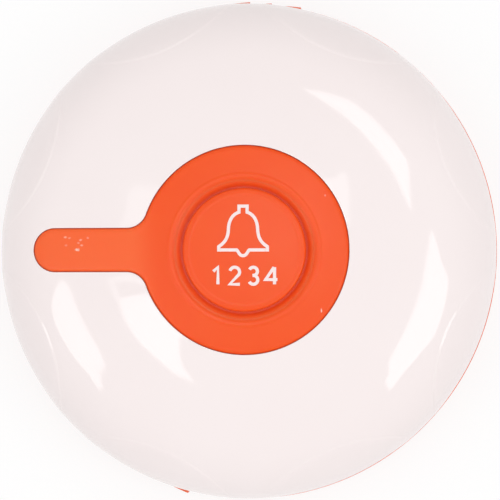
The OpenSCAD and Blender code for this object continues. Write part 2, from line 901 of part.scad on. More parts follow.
module tantalum_capacitor() {
    color("#d9a441") translate([-14, 11, board_top]) {
        translate([-1.75, -1.4, 0.1]) cube([3.5, 2.8, 1.8]);
        for (x = [-1.85, 1.1]) translate([x, -1.1, 0]) cube([0.75, 2.2, 0.3]);
    }
}

// ---- battery and contacts ----

module battery_can() {
    color("#8f949b") translate([0, battery_y0, battery_z]) rotate([-90, 0, 0])
        cylinder(r = battery_r, h = battery_l - nub_l);
}

module battery_nub() {
    color(steel) translate([0, battery_y1 - nub_l, battery_z]) rotate([-90, 0, 0])
        cylinder(r = battery_r * 0.55, h = nub_l);
}

module contact_spring() {
    color(steel) translate([0, minus_y + contact_t + eps + spring_wire_r, battery_z]) rotate([-90, 0, 0])
        wound_wire(spring_r, spring_tip_r, spring_l - 2 * spring_wire_r, 2.5, spring_wire_r, 16, 6);
}

// A contact plate in the trough with a tab that rises through the board
module contact_plate(y) {
    plate_w = 8;
    plate_z = trough_z + 0.6;
    color(steel) {
        translate([-plate_w / 2, y, plate_z]) cube([plate_w, contact_t, chassis_z - assembly - plate_z]);
        translate([-tab_w / 2, y, battery_z]) cube([tab_w, contact_t, board_top + 0.8 - battery_z]);
    }
}

module contact_minus() {
    contact_plate(minus_y);
}

module contact_plus() {
    contact_plate(plus_y);
}

base();
non_slip_pad();
seal_ring();
top_cover();
rubber_surround();
flex_web();
push_disc();
bell_mark();
number_mark();
clamp_plate();
chassis();
chassis_screws();
circuit_board();
switch_body();
switch_cover();
switch_plunger();
switch_legs();
led_body();
led_lens();
encoder_chip();
encoder_leads();
rf_transistor();
saw_resonator();
antenna_coil();
chip_resistors();
chip_capacitors();
tantalum_capacitor();
battery_can();
battery_nub();
contact_spring();
contact_minus();
contact_plus();
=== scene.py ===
# %% [markdown]
# # A table call button, dressed for its portrait
# The object is a round call button for a shop counter or a restaurant table. A glossy white cover
# twists onto an orange base, and an orange silicone keyhole in the middle carries a soft push disc.
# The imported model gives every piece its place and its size. This script gives the pieces their looks.

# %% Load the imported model
import math

import bmesh
import bpy
import numpy as np
from mathutils import Matrix, Vector


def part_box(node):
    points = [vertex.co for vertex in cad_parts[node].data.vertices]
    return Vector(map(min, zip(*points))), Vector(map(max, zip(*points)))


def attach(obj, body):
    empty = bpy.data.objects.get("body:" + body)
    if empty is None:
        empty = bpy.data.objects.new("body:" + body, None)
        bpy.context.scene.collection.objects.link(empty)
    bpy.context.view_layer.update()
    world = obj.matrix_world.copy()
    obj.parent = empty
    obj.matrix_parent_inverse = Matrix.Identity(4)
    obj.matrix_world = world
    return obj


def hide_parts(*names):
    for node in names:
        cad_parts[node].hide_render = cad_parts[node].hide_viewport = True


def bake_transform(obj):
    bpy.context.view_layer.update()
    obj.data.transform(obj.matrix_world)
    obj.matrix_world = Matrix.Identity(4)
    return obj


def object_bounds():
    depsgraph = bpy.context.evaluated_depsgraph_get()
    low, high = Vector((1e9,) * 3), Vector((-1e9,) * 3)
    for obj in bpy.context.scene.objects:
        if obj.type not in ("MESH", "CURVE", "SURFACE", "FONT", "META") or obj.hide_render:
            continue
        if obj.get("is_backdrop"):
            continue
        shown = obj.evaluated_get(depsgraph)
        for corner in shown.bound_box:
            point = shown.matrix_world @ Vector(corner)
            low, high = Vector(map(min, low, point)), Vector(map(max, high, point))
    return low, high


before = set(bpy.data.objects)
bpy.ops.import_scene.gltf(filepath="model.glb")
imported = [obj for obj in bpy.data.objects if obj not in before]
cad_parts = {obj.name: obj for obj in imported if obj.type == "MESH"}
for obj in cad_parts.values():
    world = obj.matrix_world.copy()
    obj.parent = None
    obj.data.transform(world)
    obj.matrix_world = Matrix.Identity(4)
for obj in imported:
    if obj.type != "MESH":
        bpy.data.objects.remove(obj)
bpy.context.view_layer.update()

MM = 0.001

# %% [markdown]
# ## Sizes
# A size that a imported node's box can tell is read from it, so the meshes below fit round the nodes.
# The others, such as the radius of the shoulder, are named once, here or beside the piece they shape.

# %% Sizes of the cover, the keyhole and the disc
rim_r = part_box("top_cover")[1].x
top_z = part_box("push_disc")[1].z
base_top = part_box("base")[1].z
disc_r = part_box("push_disc")[1].x
disc_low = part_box("flex_web")[0].z
web_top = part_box("flex_web")[1].z
rib_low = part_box("top_cover")[0].z
board_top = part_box("circuit_board")[1].z

SEAM = 0.2 * MM
SHOULDER_R = 12 * MM
CROWN_RISE = 15.5 * MM
WALL = 2.2 * MM
RING_R = 15.5 * MM
TONGUE_R = 3.225 * MM
TONGUE_X = rim_r - 9.1 * MM
FILLET_R = 3.1 * MM
GROOVE_R = disc_r + 1.13 * MM
FLANGE_W = 2 * MM
cover_low = base_top + SEAM

shoulder_x = rim_r - SHOULDER_R
shoulder_z = top_z - CROWN_RISE
crown_r = (shoulder_x**2 + CROWN_RISE**2 - SHOULDER_R**2) / (2 * (CROWN_RISE - SHOULDER_R))
crown_z = top_z - crown_r
tilt = math.atan2(shoulder_x, shoulder_z - crown_z)
crown_s = crown_r * tilt
shoulder_s = crown_s + SHOULDER_R * (math.pi / 2 - tilt)
print("crown radius in mm:", round(crown_r / MM, 1))
print("it meets the shoulder at, in degrees:", round(math.degrees(tilt), 1))

# %% [markdown]
# ## Node graphs in plain Python
# A material is a graph of nodes, and so is a Geometry Nodes tree. Long graphs are hard to read as code.
# One small class wraps a socket, so that an expression such as 0.3 + 0.1 * grain adds the Math nodes by
# itself. Every other node comes from one method, which sets the node's options and then its sockets.


# %% A socket that can be used in expressions
class Wire:
    """An output socket. Adding, subtracting, multiplying or dividing it adds a Math node."""

    def __init__(self, graph, socket):
        self.graph, self.socket = graph, socket

    def maths(self, operation, *values):
        return self.graph.node("Math", {"operation": operation}, dict(enumerate(values or (self,))))

    def __add__(self, other):
        return self.maths("ADD", self, other)

    def __sub__(self, other):
        return self.maths("SUBTRACT", self, other)

    def __rsub__(self, other):
        return self.maths("SUBTRACT", other, self)

    def __mul__(self, other):
        return self.maths("MULTIPLY", self, other)

    def __truediv__(self, other):
        return self.maths("DIVIDE", self, other)

    __radd__ = __add__
    __rmul__ = __mul__

    def over(self, edge, softness):
        """0 where this is under the edge, 1 where it is over it by the softness, and smooth between."""
        settings = {"interpolation_type": "SMOOTHSTEP"}
        sockets = {"Value": self, "From Min": edge, "From Max": edge + softness}
        return self.graph.node("MapRange", settings, sockets)


class Graph:
    """A node tree. A node's kind is its type's name, without ShaderNode in front."""

    def node(self, kind, settings=(), sockets=(), output=0):
        prefix = "" if kind.startswith(("Geometry", "Function")) else "ShaderNode"
        made = self.tree.nodes.new(prefix + kind)
        for key, value in dict(settings).items():
            setattr(made, key, value)
        for key, value in dict(sockets).items():
            if isinstance(value, Wire):
                self.tree.links.new(value.socket, made.inputs[key])
            else:
                made.inputs[key].default_value = value
        return Wire(self, made.outputs[output])


# %% A finish: one material
class Finish(Graph):
    """One material. Its pattern is fixed to the object's own coordinates, in metres."""

    def __init__(self, name):
        self.material = bpy.data.materials.new(name)
        self.material.use_nodes = True
        self.tree = self.material.node_tree
        self.tree.nodes.clear()
        self.place = self.node("TexCoord", output="Object")

    def noise(self, size, detail=2, place=None):
        """Cloudy noise from 0 to 1, with lumps of the given size in metres."""
        return self.node("TexNoise", {}, {"Vector": place or self.place, "Scale": 1 / size, "Detail": detail})

    def mix(self, mask, first, second):
        """The first colour where the mask is 0, and the second where it is 1."""
        return self.node("Mix", {"data_type": "RGBA"}, {0: mask, 6: first, 7: second}, output=2)

    def bump(self, height, distance):
        return self.node("Bump", {}, {"Height": height, "Distance": distance})

    def ends_in(self, shader):
        end = self.tree.nodes.new("ShaderNodeOutputMaterial")
        self.tree.links.new(shader.socket, end.inputs["Surface"])
        return self.material

    def shade(self, sockets):
        """Ends the graph in one Principled shader and returns the material."""
        return self.ends_in(self.node("BsdfPrincipled", {}, sockets))


def srgb(red, green, blue):
    """The linear colour of three values from 0 to 255."""
    def linear(value):
        value /= 255
        return value / 12.92 if value <= 0.04045 else ((value + 0.055) / 1.055) ** 2.4
    return (linear(red), linear(green), linear(blue), 1)


print("node helpers ready")

# %% [markdown]
# ## The white cover's finish
# The cover is injection-moulded ABS plastic, polished so well that studio lights show in it as crisp patches.
# Its white has a warm, faintly pink cast. A real moulding is never perfectly even: the gloss
# wanders a little where it has been wiped, and the skin has a very shallow ripple. Both are far too
# faint to see as a pattern, but without them the plastic would look like glass.


# %% Glossy white plastic
def glossy_white():
    plastic = Finish("cover_white")
    cloud = plastic.noise(22 * MM)
    wiped = plastic.noise(6 * MM, 3)
    ripple = plastic.noise(3.5 * MM, 1)
    colour = plastic.mix(cloud, srgb(242, 232, 231), srgb(239, 228, 227))
    return plastic.shade({
        "Base Color": colour,
        "Roughness": 0.02 + 0.05 * wiped,
        "Normal": plastic.bump(ripple, 0.003 * MM),
        "IOR": 1.5,
    })


cover_white = glossy_white()
print("made", cover_white.name)

# %% [markdown]
# ## The orange silicone's finish
# Silicone keypads are matte and slightly waxy: they scatter light under the skin, and their highlights are
# wide and soft. The tongue is painted a little paler towards its end, a painted sheen, and it is nicked in a
# handful of places. Each nick is a small ellipse whose edge is torn up by noise, placed where the real one
# sits.

# %% Nicks in the silicone: x, y, length, width and paleness, in millimetres
NICKS = [
    (-26.75, 1.9, 0.46, 0.25, 0.45),
    (-26.15, 1.8, 0.34, 0.24, 0.35),
    (-24.45, 1.5, 0.44, 0.27, 0.5),
    (-23.35, 1.8, 0.36, 0.26, 0.35),
    (-24.75, 1.05, 0.34, 0.24, 0.4),
    (-24.25, 0.7, 0.36, 0.28, 0.45),
    (-24.95, 0.05, 0.56, 0.36, 0.9),
    (-26.65, 0.7, 0.42, 0.30, 0.2),
    (11.4, -8.95, 0.20, 0.56, 0.8),
    (11.95, 8.0, 0.24, 0.34, 0.35),
]


def nick_mask(finish, torn):
    """1 inside the nicks, fading out at their torn edges."""
    total = 0.0
    for x, y, length, width, paleness in NICKS:
        stretch = (1 / (length * MM), 1 / (width * MM), 0)
        middle = (x / length, y / width, 0)
        scaled = finish.node("VectorMath", {"operation": "MULTIPLY"}, {0: finish.place, 1: stretch})
        far = finish.node("VectorMath", {"operation": "DISTANCE"}, {0: scaled, 1: middle}, output=1)
        total = (1 - (far + 0.9 * torn).over(0.55, 0.7)) * paleness + total
    return total


# %% Matte silicone
# Where the painted sheen on the tongue begins, and how far it fades in
SHEEN_FROM, SHEEN_OVER = 13 * MM, 5 * MM


def silicone(name, crease=None, sheen_and_nicks=False):
    """Orange silicone: painted shade towards the disc, or a painted sheen on the tongue, which is also
    nicked.
    """
    rubber = Finish(name)
    cloud = rubber.noise(7 * MM, 3)
    grain = rubber.noise(0.16 * MM, 2)
    fine = rubber.noise(0.05 * MM, 1)
    surface = rubber.mix(cloud, srgb(240, 83, 6), srgb(237, 77, 2))
    relief = grain + 0.6 * fine
    # The crease colour is painted shade: the web is painted darker towards the disc, deep in the groove
    if crease:
        flat = rubber.node("VectorMath", {"operation": "MULTIPLY"}, {0: rubber.place, 1: (1, 1, 0)})
        past = rubber.node("VectorMath", {"operation": "LENGTH"}, {0: flat}, output=1) - disc_r
        surface = rubber.mix(past.over(0.1 * MM, 0.8 * MM), crease, surface)
    if sheen_and_nicks:
        x = Wire(rubber, rubber.node("SeparateXYZ", {}, {0: rubber.place}).socket.node.outputs["X"])
        # The tongue is painted paler towards its end: a painted sheen
        tongue_sheen = (0 - x + 1.5 * MM * cloud).over(SHEEN_FROM, SHEEN_OVER)
        surface = rubber.mix(tongue_sheen, surface, srgb(243, 99, 40))
        marks = nick_mask(rubber, rubber.noise(0.25 * MM, 2))
        surface = rubber.mix(marks, surface, srgb(250, 218, 204))
        relief = relief + 3 * marks
    return rubber.shade({
        "Base Color": surface,
        "Roughness": 0.33 + 0.1 * cloud,
        "Normal": rubber.bump(relief, 0.005 * MM),
        "Specular IOR Level": 0.36,
        "Subsurface Weight": 0.35,
        "Subsurface Radius": (1, 0.28, 0.1),
        "Subsurface Scale": 0.7 * MM,
    })


keypad_orange = silicone("keypad_orange", sheen_and_nicks=True)
# The web's crease colour is painted shade in the groove
web_orange = silicone("web_orange", crease=srgb(214, 58, 4))
print("made", keypad_orange.name, "and", web_orange.name)

# %% [markdown]
# ## The other finishes
# The base is orange plastic with a satin grain, the pad under it is black rubber, and the marks on the
# disc are printed in a warm white ink. Inside, hidden until someone opens the button, are the circuit
# board, the switch, the battery and small parts in metal, ceramic and plastic.


# %% Moulded plastic and rubber
def moulded(name, colour, roughness, grain, depth, sockets=()):
    """A plain moulding: the colour drifts a little, and the skin has a grain of that size and depth."""
    plastic = Finish(name)
    cloud = plastic.noise(9 * MM, 3)
    texture = plastic.noise(grain, 3)
    darker = tuple(0.86 * c for c in colour[:3]) + (1,)
    return plastic.shade({
        "Base Color": plastic.mix(cloud, colour, darker),
        "Roughness": roughness + 0.1 * texture,
        "Normal": plastic.bump(texture, depth),
        **dict(sockets),
    })


def sheet_metal(name, colour, roughness):
    """Metal with the fine parallel streaks that rolling or drawing leaves."""
    metal = Finish(name)
    stretched = metal.node("VectorMath", {"operation": "MULTIPLY"}, {0: metal.place, 1: (1, 14, 14)})
    streak = metal.noise(1.2 * MM, 3, stretched)
    tarnish = metal.noise(3 * MM, 2)
    darker = tuple(0.72 * c for c in colour[:3]) + (1,)
    return metal.shade({
        "Base Color": metal.mix(tarnish, colour, darker),
        "Metallic": 1,
        "Roughness": roughness + 0.15 * streak,
        "Normal": metal.bump(streak, 0.004 * MM),
    })


def printed_ink():
    """Warm white ink on silicone: a little thin in places, so the orange warms it."""
    ink = Finish("ink_white")
    thin = ink.noise(0.7 * MM, 3).over(0.5, 0.3)
    weave = ink.noise(0.12 * MM, 2)
    return ink.shade({
        "Base Color": ink.mix(thin, srgb(242, 224, 223), srgb(242, 213, 207)),
        "Roughness": 0.5 + 0.1 * weave,
        "Normal": ink.bump(weave, 0.004 * MM),
    })


def solder_mask():
    """Green lacquer over a mesh of copper tracks, which show as slightly paler raised lines."""
    board = Finish("board_green")
    cells = {"Vector": board.place, "Scale": 1 / (2.5 * MM)}
    settings = {"feature": "DISTANCE_TO_EDGE", "distance": "EUCLIDEAN"}
    edge = board.node("TexVoronoi", settings, cells)
    track = 1 - edge.over(0.05, 0.03)
    return board.shade({
        "Base Color": board.mix(track, srgb(24, 92, 58), srgb(46, 128, 82)),
        "Roughness": 0.28 - 0.06 * track,
        "Normal": board.bump(track, 0.03 * MM),
    })


FINISHES = {
    "cover_white": cover_white,
    "keypad_orange": keypad_orange,
    "web_orange": web_orange,
    "ink_white": printed_ink(),
    "board_green": solder_mask(),
    "base_orange": moulded("base_orange", srgb(240, 104, 54), 0.3, 0.35 * MM, 0.006 * MM),
    "pad_rubber": moulded("pad_rubber", srgb(46, 46, 48), 0.72, 0.3 * MM, 0.03 * MM),
    "seal_rubber": moulded("seal_rubber", srgb(34, 34, 36), 0.5, 0.2 * MM, 0.01 * MM),
    "inner_plastic": moulded("inner_plastic", srgb(226, 222, 214), 0.4, 0.4 * MM, 0.01 * MM),
    "black_plastic": moulded("black_plastic", srgb(36, 36, 39), 0.45, 0.12 * MM, 0.01 * MM),
    "plunger_red": moulded("plunger_red", srgb(196, 48, 40), 0.35, 0.3 * MM, 0.008 * MM),
    "led_white": moulded("led_white", srgb(238, 235, 226), 0.5, 0.2 * MM, 0.006 * MM),
    "led_clear": moulded("led_clear", srgb(255, 226, 140), 0.12, 0.5 * MM, 0.002 * MM),
    "ceramic_grey": moulded("ceramic_grey", srgb(172, 166, 150), 0.42, 0.15 * MM, 0.006 * MM),
    "ceramic_tan": moulded("ceramic_tan", srgb(168, 128, 84), 0.5, 0.1 * MM, 0.008 * MM),
    "tantalum_yellow": moulded("tantalum_yellow", srgb(214, 160, 60), 0.45, 0.15 * MM, 0.008 * MM),
    "battery_sleeve": moulded("battery_sleeve", srgb(132, 138, 146), 0.25, 0.8 * MM, 0.004 * MM),
    "screw_steel": sheet_metal("screw_steel", srgb(205, 208, 212), 0.25),
    "sheet_steel": sheet_metal("sheet_steel", srgb(198, 201, 205), 0.3),
    "copper": sheet_metal("copper", srgb(206, 128, 84), 0.3),
}
print("finishes:", len(FINISHES))

# %% [markdown]
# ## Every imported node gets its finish
# A node came in with a plain material whose name is its slot in the record. Swapping it for the finish
# of the same name leaves the node's mesh alone, so hidden pieces look right when the button is opened.

# %% Swap the plain materials
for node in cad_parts.values():
    for place in node.material_slots:
        place.material = FINISHES[place.material.name.split(".")[0]]
print("dressed", len(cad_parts), "nodes")

# %% [markdown]
# ## The dome as a formula
# The cover is a wide crown arc that runs into a tighter shoulder arc and ends in a short upright wall.
# Everything on top follows that one line: the cover, the silicone, the disc and the print. So the
# line is written once, as a function of the distance along the surface from the top.


# %% The line of the dome
def dome(s, inset=0.0):
    """Radius, height and the two parts of the outward normal, at the distance s along the surface."""
    s = np.asarray(s, float)
    lean = np.where(s < crown_s, s / crown_r, tilt + (s - crown_s) / SHOULDER_R)
    lean = np.minimum(lean, math.pi / 2)
    on_crown = s < crown_s
    arc_r = np.where(on_crown, crown_r, SHOULDER_R) - inset
    r = np.where(on_crown, 0, shoulder_x) + arc_r * np.sin(lean)
    z = np.where(on_crown, crown_z, shoulder_z) + arc_r * np.cos(lean)
    z = z - np.maximum(s - shoulder_s, 0)
    return r, z, np.sin(lean), np.cos(lean)


def along(r, inset=0.0):
    """The distance along the surface at which the dome, sunk by inset, has that radius."""
    r = np.asarray(r, float)
    on_crown = r < (crown_r - inset) * math.sin(tilt)
    crown = crown_r * np.arcsin(np.clip(r / (crown_r - inset), 0, 1))
    lean = np.arcsin(np.clip((r - shoulder_x) / (SHOULDER_R - inset), 0, 1))
    return np.where(on_crown, crown, crown_s + (lean - tilt) * SHOULDER_R)


def height(r, inset=0.0):
    return dome(along(r, inset), inset)[1]


print("height at the rim of the disc:", round(float(height(disc_r)) / MM, 2), "mm")

# %% [markdown]
# ## The keyhole's outline
# The silicone shows through a keyhole: a ring with a long tongue, joined by two fillets. The outline is
# made of arcs and straight lines. With each point goes the direction that points out of the keyhole, so
# a rounded edge on either side can be stepped off the same line.


# %% Points and normals round the keyhole
def arc_of(centre, r, start, end, steps, outward=1):
    angle = np.linspace(start, end, steps, endpoint=False)
    ray = np.stack([np.cos(angle), np.sin(angle)], 1)
    return np.array(centre) + r * ray, outward * ray


def line_of(start, end, steps, normal):
    t = np.linspace(0, 1, steps, endpoint=False)[:, None]
    points = np.array(start) * (1 - t) + np.array(end) * t
    return points, np.tile(normal, (steps, 1)).astype(float)


def keyhole_outline():
    half = TONGUE_R + FILLET_R
    fillet_x = -math.sqrt((RING_R + FILLET_R) ** 2 - half**2)
    join = math.atan2(half, fillet_x)
    stretches = [
        arc_of((0, 0), RING_R, -join, join, 640),
        arc_of((fillet_x, half), FILLET_R, join - math.pi, -math.pi / 2, 18, -1),
        line_of((fillet_x, TONGUE_R), (-TONGUE_X, TONGUE_R), 22, (0, 1)),
        arc_of((-TONGUE_X, 0), TONGUE_R, math.pi / 2, 3 * math.pi / 2, 44),
        line_of((-TONGUE_X, -TONGUE_R), (fillet_x, -TONGUE_R), 22, (0, -1)),
        arc_of((fillet_x, -half), FILLET_R, math.pi / 2, math.pi - join, 18, -1),
    ]
    return np.concatenate([p for p, n in stretches]), np.concatenate([n for p, n in stretches])


edge, edge_out = keyhole_outline()
print("outline points:", len(edge))

# %% [markdown]
# ## From rows of points to a mesh
# Most pieces here are skins: rows of points that run round the piece, each row joined to the next by
# quads. Where the last row joins the first, the skin is closed. A row that shrinks to one point on
# the axis becomes a pole, when its doubled points are merged.


# %% Skins and turned pieces
def tidied(mesh, material, crease=35):
    """Merges doubles, turns the faces outwards, shades them smooth and keeps the hard edges."""
    work = bmesh.new()
    work.from_mesh(mesh)
    bmesh.ops.remove_doubles(work, verts=work.verts, dist=0.0005 * MM)
    bmesh.ops.recalc_face_normals(work, faces=work.faces)
    work.to_mesh(mesh)
    work.free()
    mesh.shade_smooth()
    mesh.set_sharp_from_angle(angle=math.radians(crease))
    mesh.materials.clear()
    mesh.materials.append(material)
    return mesh


def placed(name, mesh):
    piece = bpy.data.objects.new(name, mesh)
    bpy.context.scene.collection.objects.link(piece)
    return piece


def piece_of(name, mesh, body, slot, replaces=()):
    """A finished piece: it rides on a body if one is given, has a slot of the record, and may stand for
    nodes.
    """
    piece = placed(name, tidied(mesh, FINISHES[slot]))
    if replaces:
        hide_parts(*replaces)
    if body:
        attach(piece, body)
    print(f"{name}: {len(mesh.polygons)} faces")
    return piece


def skin(rows, closed=True, around=True):
    rows = np.array(rows)
    count, width = rows.shape[:2]
    near = np.arange(width if around else width - 1)
    faces = []
    for i in range(count if closed else count - 1):
        a, b = i * width, (i + 1) % count * width
        far = (near + 1) % width
        faces.append(np.stack([a + near, a + far, b + far, b + near], 1))
    mesh = bpy.data.meshes.new("skin")
    mesh.from_pydata(rows.reshape(-1, 3).tolist(), [], np.concatenate(faces).tolist())
    return mesh


def ring_row(r, z, angle):
    """A row of points at radius r and height z, at the given angles."""
    r, z = np.broadcast_to(r, angle.shape), np.broadcast_to(z, angle.shape)
    return np.stack([r * np.cos(angle), r * np.sin(angle), z], 1)


def capped(mesh):
    """Closes the open ends of a mesh with flat faces."""
    work = bmesh.new()
    work.from_mesh(mesh)
    bmesh.ops.holes_fill(work, edges=[side for side in work.edges if side.is_boundary])
    work.to_mesh(mesh)
    work.free()
    return mesh


def joined(meshes):
    """One mesh that holds them all."""
    work = bmesh.new()
    for mesh in meshes:
        work.from_mesh(mesh)
    whole = bpy.data.meshes.new("joined")
    work.to_mesh(whole)
    work.free()
    return whole


def shifted(mesh, x):
    """The mesh, moved along the X axis."""
    mesh.transform(Matrix.Translation((x, 0, 0)))
    return mesh


def turned(line, columns=192):
    """A mesh turned on a lathe: the line of (radius, height) points goes once round the axis."""
    angle = np.linspace(0, math.tau, columns, endpoint=False)
    return skin([ring_row(r, z, angle) for r, z in line], closed=False)


def smooth(t):
    t = np.clip(t, 0, 1)
    return t * t * (3 - 2 * t)


def bead(t):
    """A low bead: 0 at both ends of 0 to 1, 1 in the middle."""
    return np.sin(math.pi * np.clip(t, 0, 1)) ** 2


def rounded(corners, steps=5):
    """A line of points through corners (x, y, radius), with an arc at each corner that has a radius."""
    points = []
    for i, (x, y, r) in enumerate(corners):
        here = np.array([x, y])
        if r == 0:
            points.append(here)
            continue
        before = np.array(corners[i - 1][:2]) - here
        after = np.array(corners[(i + 1) % len(corners)][:2]) - here
        before, after = before / np.linalg.norm(before), after / np.linalg.norm(after)
        half = math.acos(float(np.clip(before @ after, -1, 1))) / 2
        centre = here + (before + after) / np.linalg.norm(before + after) * r / math.sin(half)
        start = here + before * r / math.tan(half) - centre
        end = here + after * r / math.tan(half) - centre
        for t in np.linspace(0, 1, steps):
            spoke = start * (1 - t) + end * t
            points.append(centre + spoke / np.linalg.norm(spoke) * r)
    return points


print("mesh helpers ready")

# %% [markdown]
# ## Geometry Nodes from a script
# Geometry Nodes suit what repeats or follows a rule. A recipe is one tree with named inputs. It is put on a
# stand-in object as a modifier, its inputs are set by their identifiers, and the result is read
# back as a plain mesh, so nothing live is left.


# %% Recipes
class Recipe(Graph):
    """A Geometry Nodes tree that takes a mesh called Shape and other named inputs."""

    def __init__(self, name, **inputs):
        self.tree = bpy.data.node_groups.new(name, "GeometryNodeTree")
        face = self.tree.interface
        face.new_socket("Geometry", in_out="OUTPUT", socket_type="NodeSocketGeometry")
        face.new_socket("Shape", in_out="INPUT", socket_type="NodeSocketGeometry")
        face.new_socket("Finish", in_out="INPUT", socket_type="NodeSocketMaterial")
        for label, kind in inputs.items():
            face.new_socket(label, in_out="INPUT", socket_type="NodeSocket" + kind)
        self.keys = {i.name: i.identifier for i in face.items_tree if i.in_out == "INPUT"}
        entry = self.tree.nodes.new("NodeGroupInput")
        self.given = {label: Wire(self, entry.outputs[label]) for label in self.keys}

    def ends_in(self, shape):
        single = self.node("GeometryNodeRealizeInstances", {}, {"Geometry": shape})
        finish = {"Geometry": single, "Material": self.given["Finish"]}
        end = self.tree.nodes.new("NodeGroupOutput")
        self.tree.links.new(self.node("GeometryNodeSetMaterial", {}, finish).socket, end.inputs[0])

    def mesh(self, shape=None, **values):
        """The tree's result for those values, as a plain mesh."""
        stand_in = placed("stand_in", shape or bpy.data.meshes.new("empty"))
        modifier = stand_in.modifiers.new("recipe", "NODES")
        modifier.node_group = self.tree
        for label, value in values.items():
            modifier[self.keys[label]] = value
        graph = bpy.context.evaluated_depsgraph_get()
        made = bpy.data.meshes.new_from_object(stand_in.evaluated_get(graph))
        bpy.data.objects.remove(stand_in)
        return made


def ring_recipe():
    """Copies of the shape, turned about the Z axis at equal steps."""
    ring = Recipe("copies_round_a_ring", Count="Int", First="Float", Step="Float")
    points = ring.node("GeometryNodeMeshLine", {}, {"Count": ring.given["Count"], "Offset": (0, 0, 0)})
    index = ring.node("GeometryNodeInputIndex")
    turn = ring.node("CombineXYZ", {}, {"Z": ring.given["First"] + index * ring.given["Step"]})
    copies = {"Points": points, "Instance": ring.given["Shape"], "Rotation": turn}
    ring.ends_in(ring.node("GeometryNodeInstanceOnPoints", {}, copies))
    return ring


def row_recipe():
    """Copies of the shape along a straight line."""
    row = Recipe("copies_in_a_row", Count="Int", Step="Vector")
    line = {"Count": row.given["Count"], "Offset": row.given["Step"]}
    points = row.node("GeometryNodeMeshLine", {}, line)
    copies = {"Points": points, "Instance": row.given["Shape"]}
    row.ends_in(row.node("GeometryNodeInstanceOnPoints", {}, copies))
    return row


def coil_recipe():
    """A round wire wound along the Z axis, from one radius to another."""
    coil = Recipe("wound_wire", Turns="Float", Start="Float", End="Float", Length="Float", Wire="Float")
    turns, start, end, length, wire = (coil.given[key] for key in ("Turns", "Start", "End", "Length", "Wire"))
    path = {"Resolution": 36, "Rotations": turns, "Start Radius": start, "End Radius": end, "Height": length}
    spiral = coil.node("GeometryNodeCurveSpiral", {}, path)
    round_wire = {"Resolution": 12, "Radius": wire}
    circle = coil.node("GeometryNodeCurvePrimitiveCircle", {"mode": "RADIUS"}, round_wire)
    sweep = {"Curve": spiral, "Profile Curve": circle, "Fill Caps": True}
    coil.ends_in(coil.node("GeometryNodeCurveToMesh", {}, sweep))
    return coil


ring_of, row_of, coil_of = ring_recipe(), row_recipe(), coil_recipe()
print("recipes:", ring_of.tree.name, row_of.tree.name, coil_of.tree.name)

# %% [markdown]
# ## The cover
# The cover is one moulding. Eight shallow facets scallop its shoulder, each bounded by an arc with a soft,
# thin ledge that catches the light. A subdivision surface could round such a form, but its edges
# would have to be pinned all along the arcs. Instead, the rows of the mesh follow the arcs: they
# run from the keyhole out to the crease, crowd together across it, and go on down to the rim. The inside goes
# back up through the skirt that turns in the base.

# %% Where the arcs of the facets run
FACETS = 8
FACET_R = 24 * MM
FACET_MIDDLE = rim_r - 5.5 * MM + FACET_R
CREASE_END = rim_r - 0.7 * MM


def crease_radius(angle):
    """Where the arc of the nearest facet crosses the ray at that angle, held a little inside the rim."""
    share = angle * FACETS / math.tau - 0.5
    turn = (share - np.round(share)) * math.tau / FACETS
    across = FACET_MIDDLE * np.sin(turn)
    r = FACET_MIDDLE * np.cos(turn) - np.sqrt(np.maximum(FACET_R**2 - across**2, 0))
    return np.where(np.abs(across) < FACET_R, np.minimum(r, CREASE_END), CREASE_END)


print("crease at its nearest to the axis:", round((FACET_MIDDLE - FACET_R) / MM, 2), "mm")

# %% Rows of the cover, from the keyhole to the rim and back inside
COVER_GAP = 0.05 * MM
COVER_EDGE = 0.09 * MM
RIM_EDGE = 0.35 * MM
EDGE_SUPPORT = 0.04 * MM
CREASE_BEFORE, CREASE_AFTER = 0.25 * MM, 0.85 * MM
SKIRT_IN_R = rim_r - 6.3 * MM
SKIRT_R = rim_r - 4.7 * MM
LEDGE_Z = cover_low + 1.9 * MM
SEAL_GROOVE_R = rim_r - 4.2 * MM
LIP_R = rim_r - 2.9 * MM
LIP_LOW, LIP_HIGH = 6.4 * MM, 6.9 * MM


def edge_rows(gap, radius, side, inset):
    """The upright wall of the keyhole and the rounded edge at its top. Side is 1 to roll outwards."""
    wall = edge + gap * edge_out
    rows = [np.column_stack([wall, height(np.hypot(*wall.T), inset)])]
    for turn in np.linspace(0, math.pi / 2, 6):
        place = wall + side * radius * (1 - math.cos(turn)) * edge_out
        top = height(np.hypot(*place.T)) - radius * (1 - math.sin(turn))
        rows.append(np.column_stack([place, top]))
    return rows


def cover_top(rows, angle):
    """Rows over the dome, close at the keyhole's edge and at the crease, and down to the rim."""
    s_crease = along(crease_radius(angle))
    s_start = along(np.hypot(*rows[-1][:, :2].T))
    s_end = np.full_like(angle, shoulder_s + shoulder_z - cover_low - RIM_EDGE)
    steps = [s_start + EDGE_SUPPORT]
    steps += [s_start + (s_crease - CREASE_BEFORE - s_start) * t for t in np.linspace(0, 1, 30)[1:]]
    steps += [s_crease + offset * MM for offset in np.arange(-0.1, 0.8, 0.08)]
    steps += [s_crease + CREASE_AFTER + (s_end - s_crease - CREASE_AFTER) * t for t in np.linspace(0, 1, 26)]
    return [ring_row(*dome(s)[:2], angle) for s in steps]


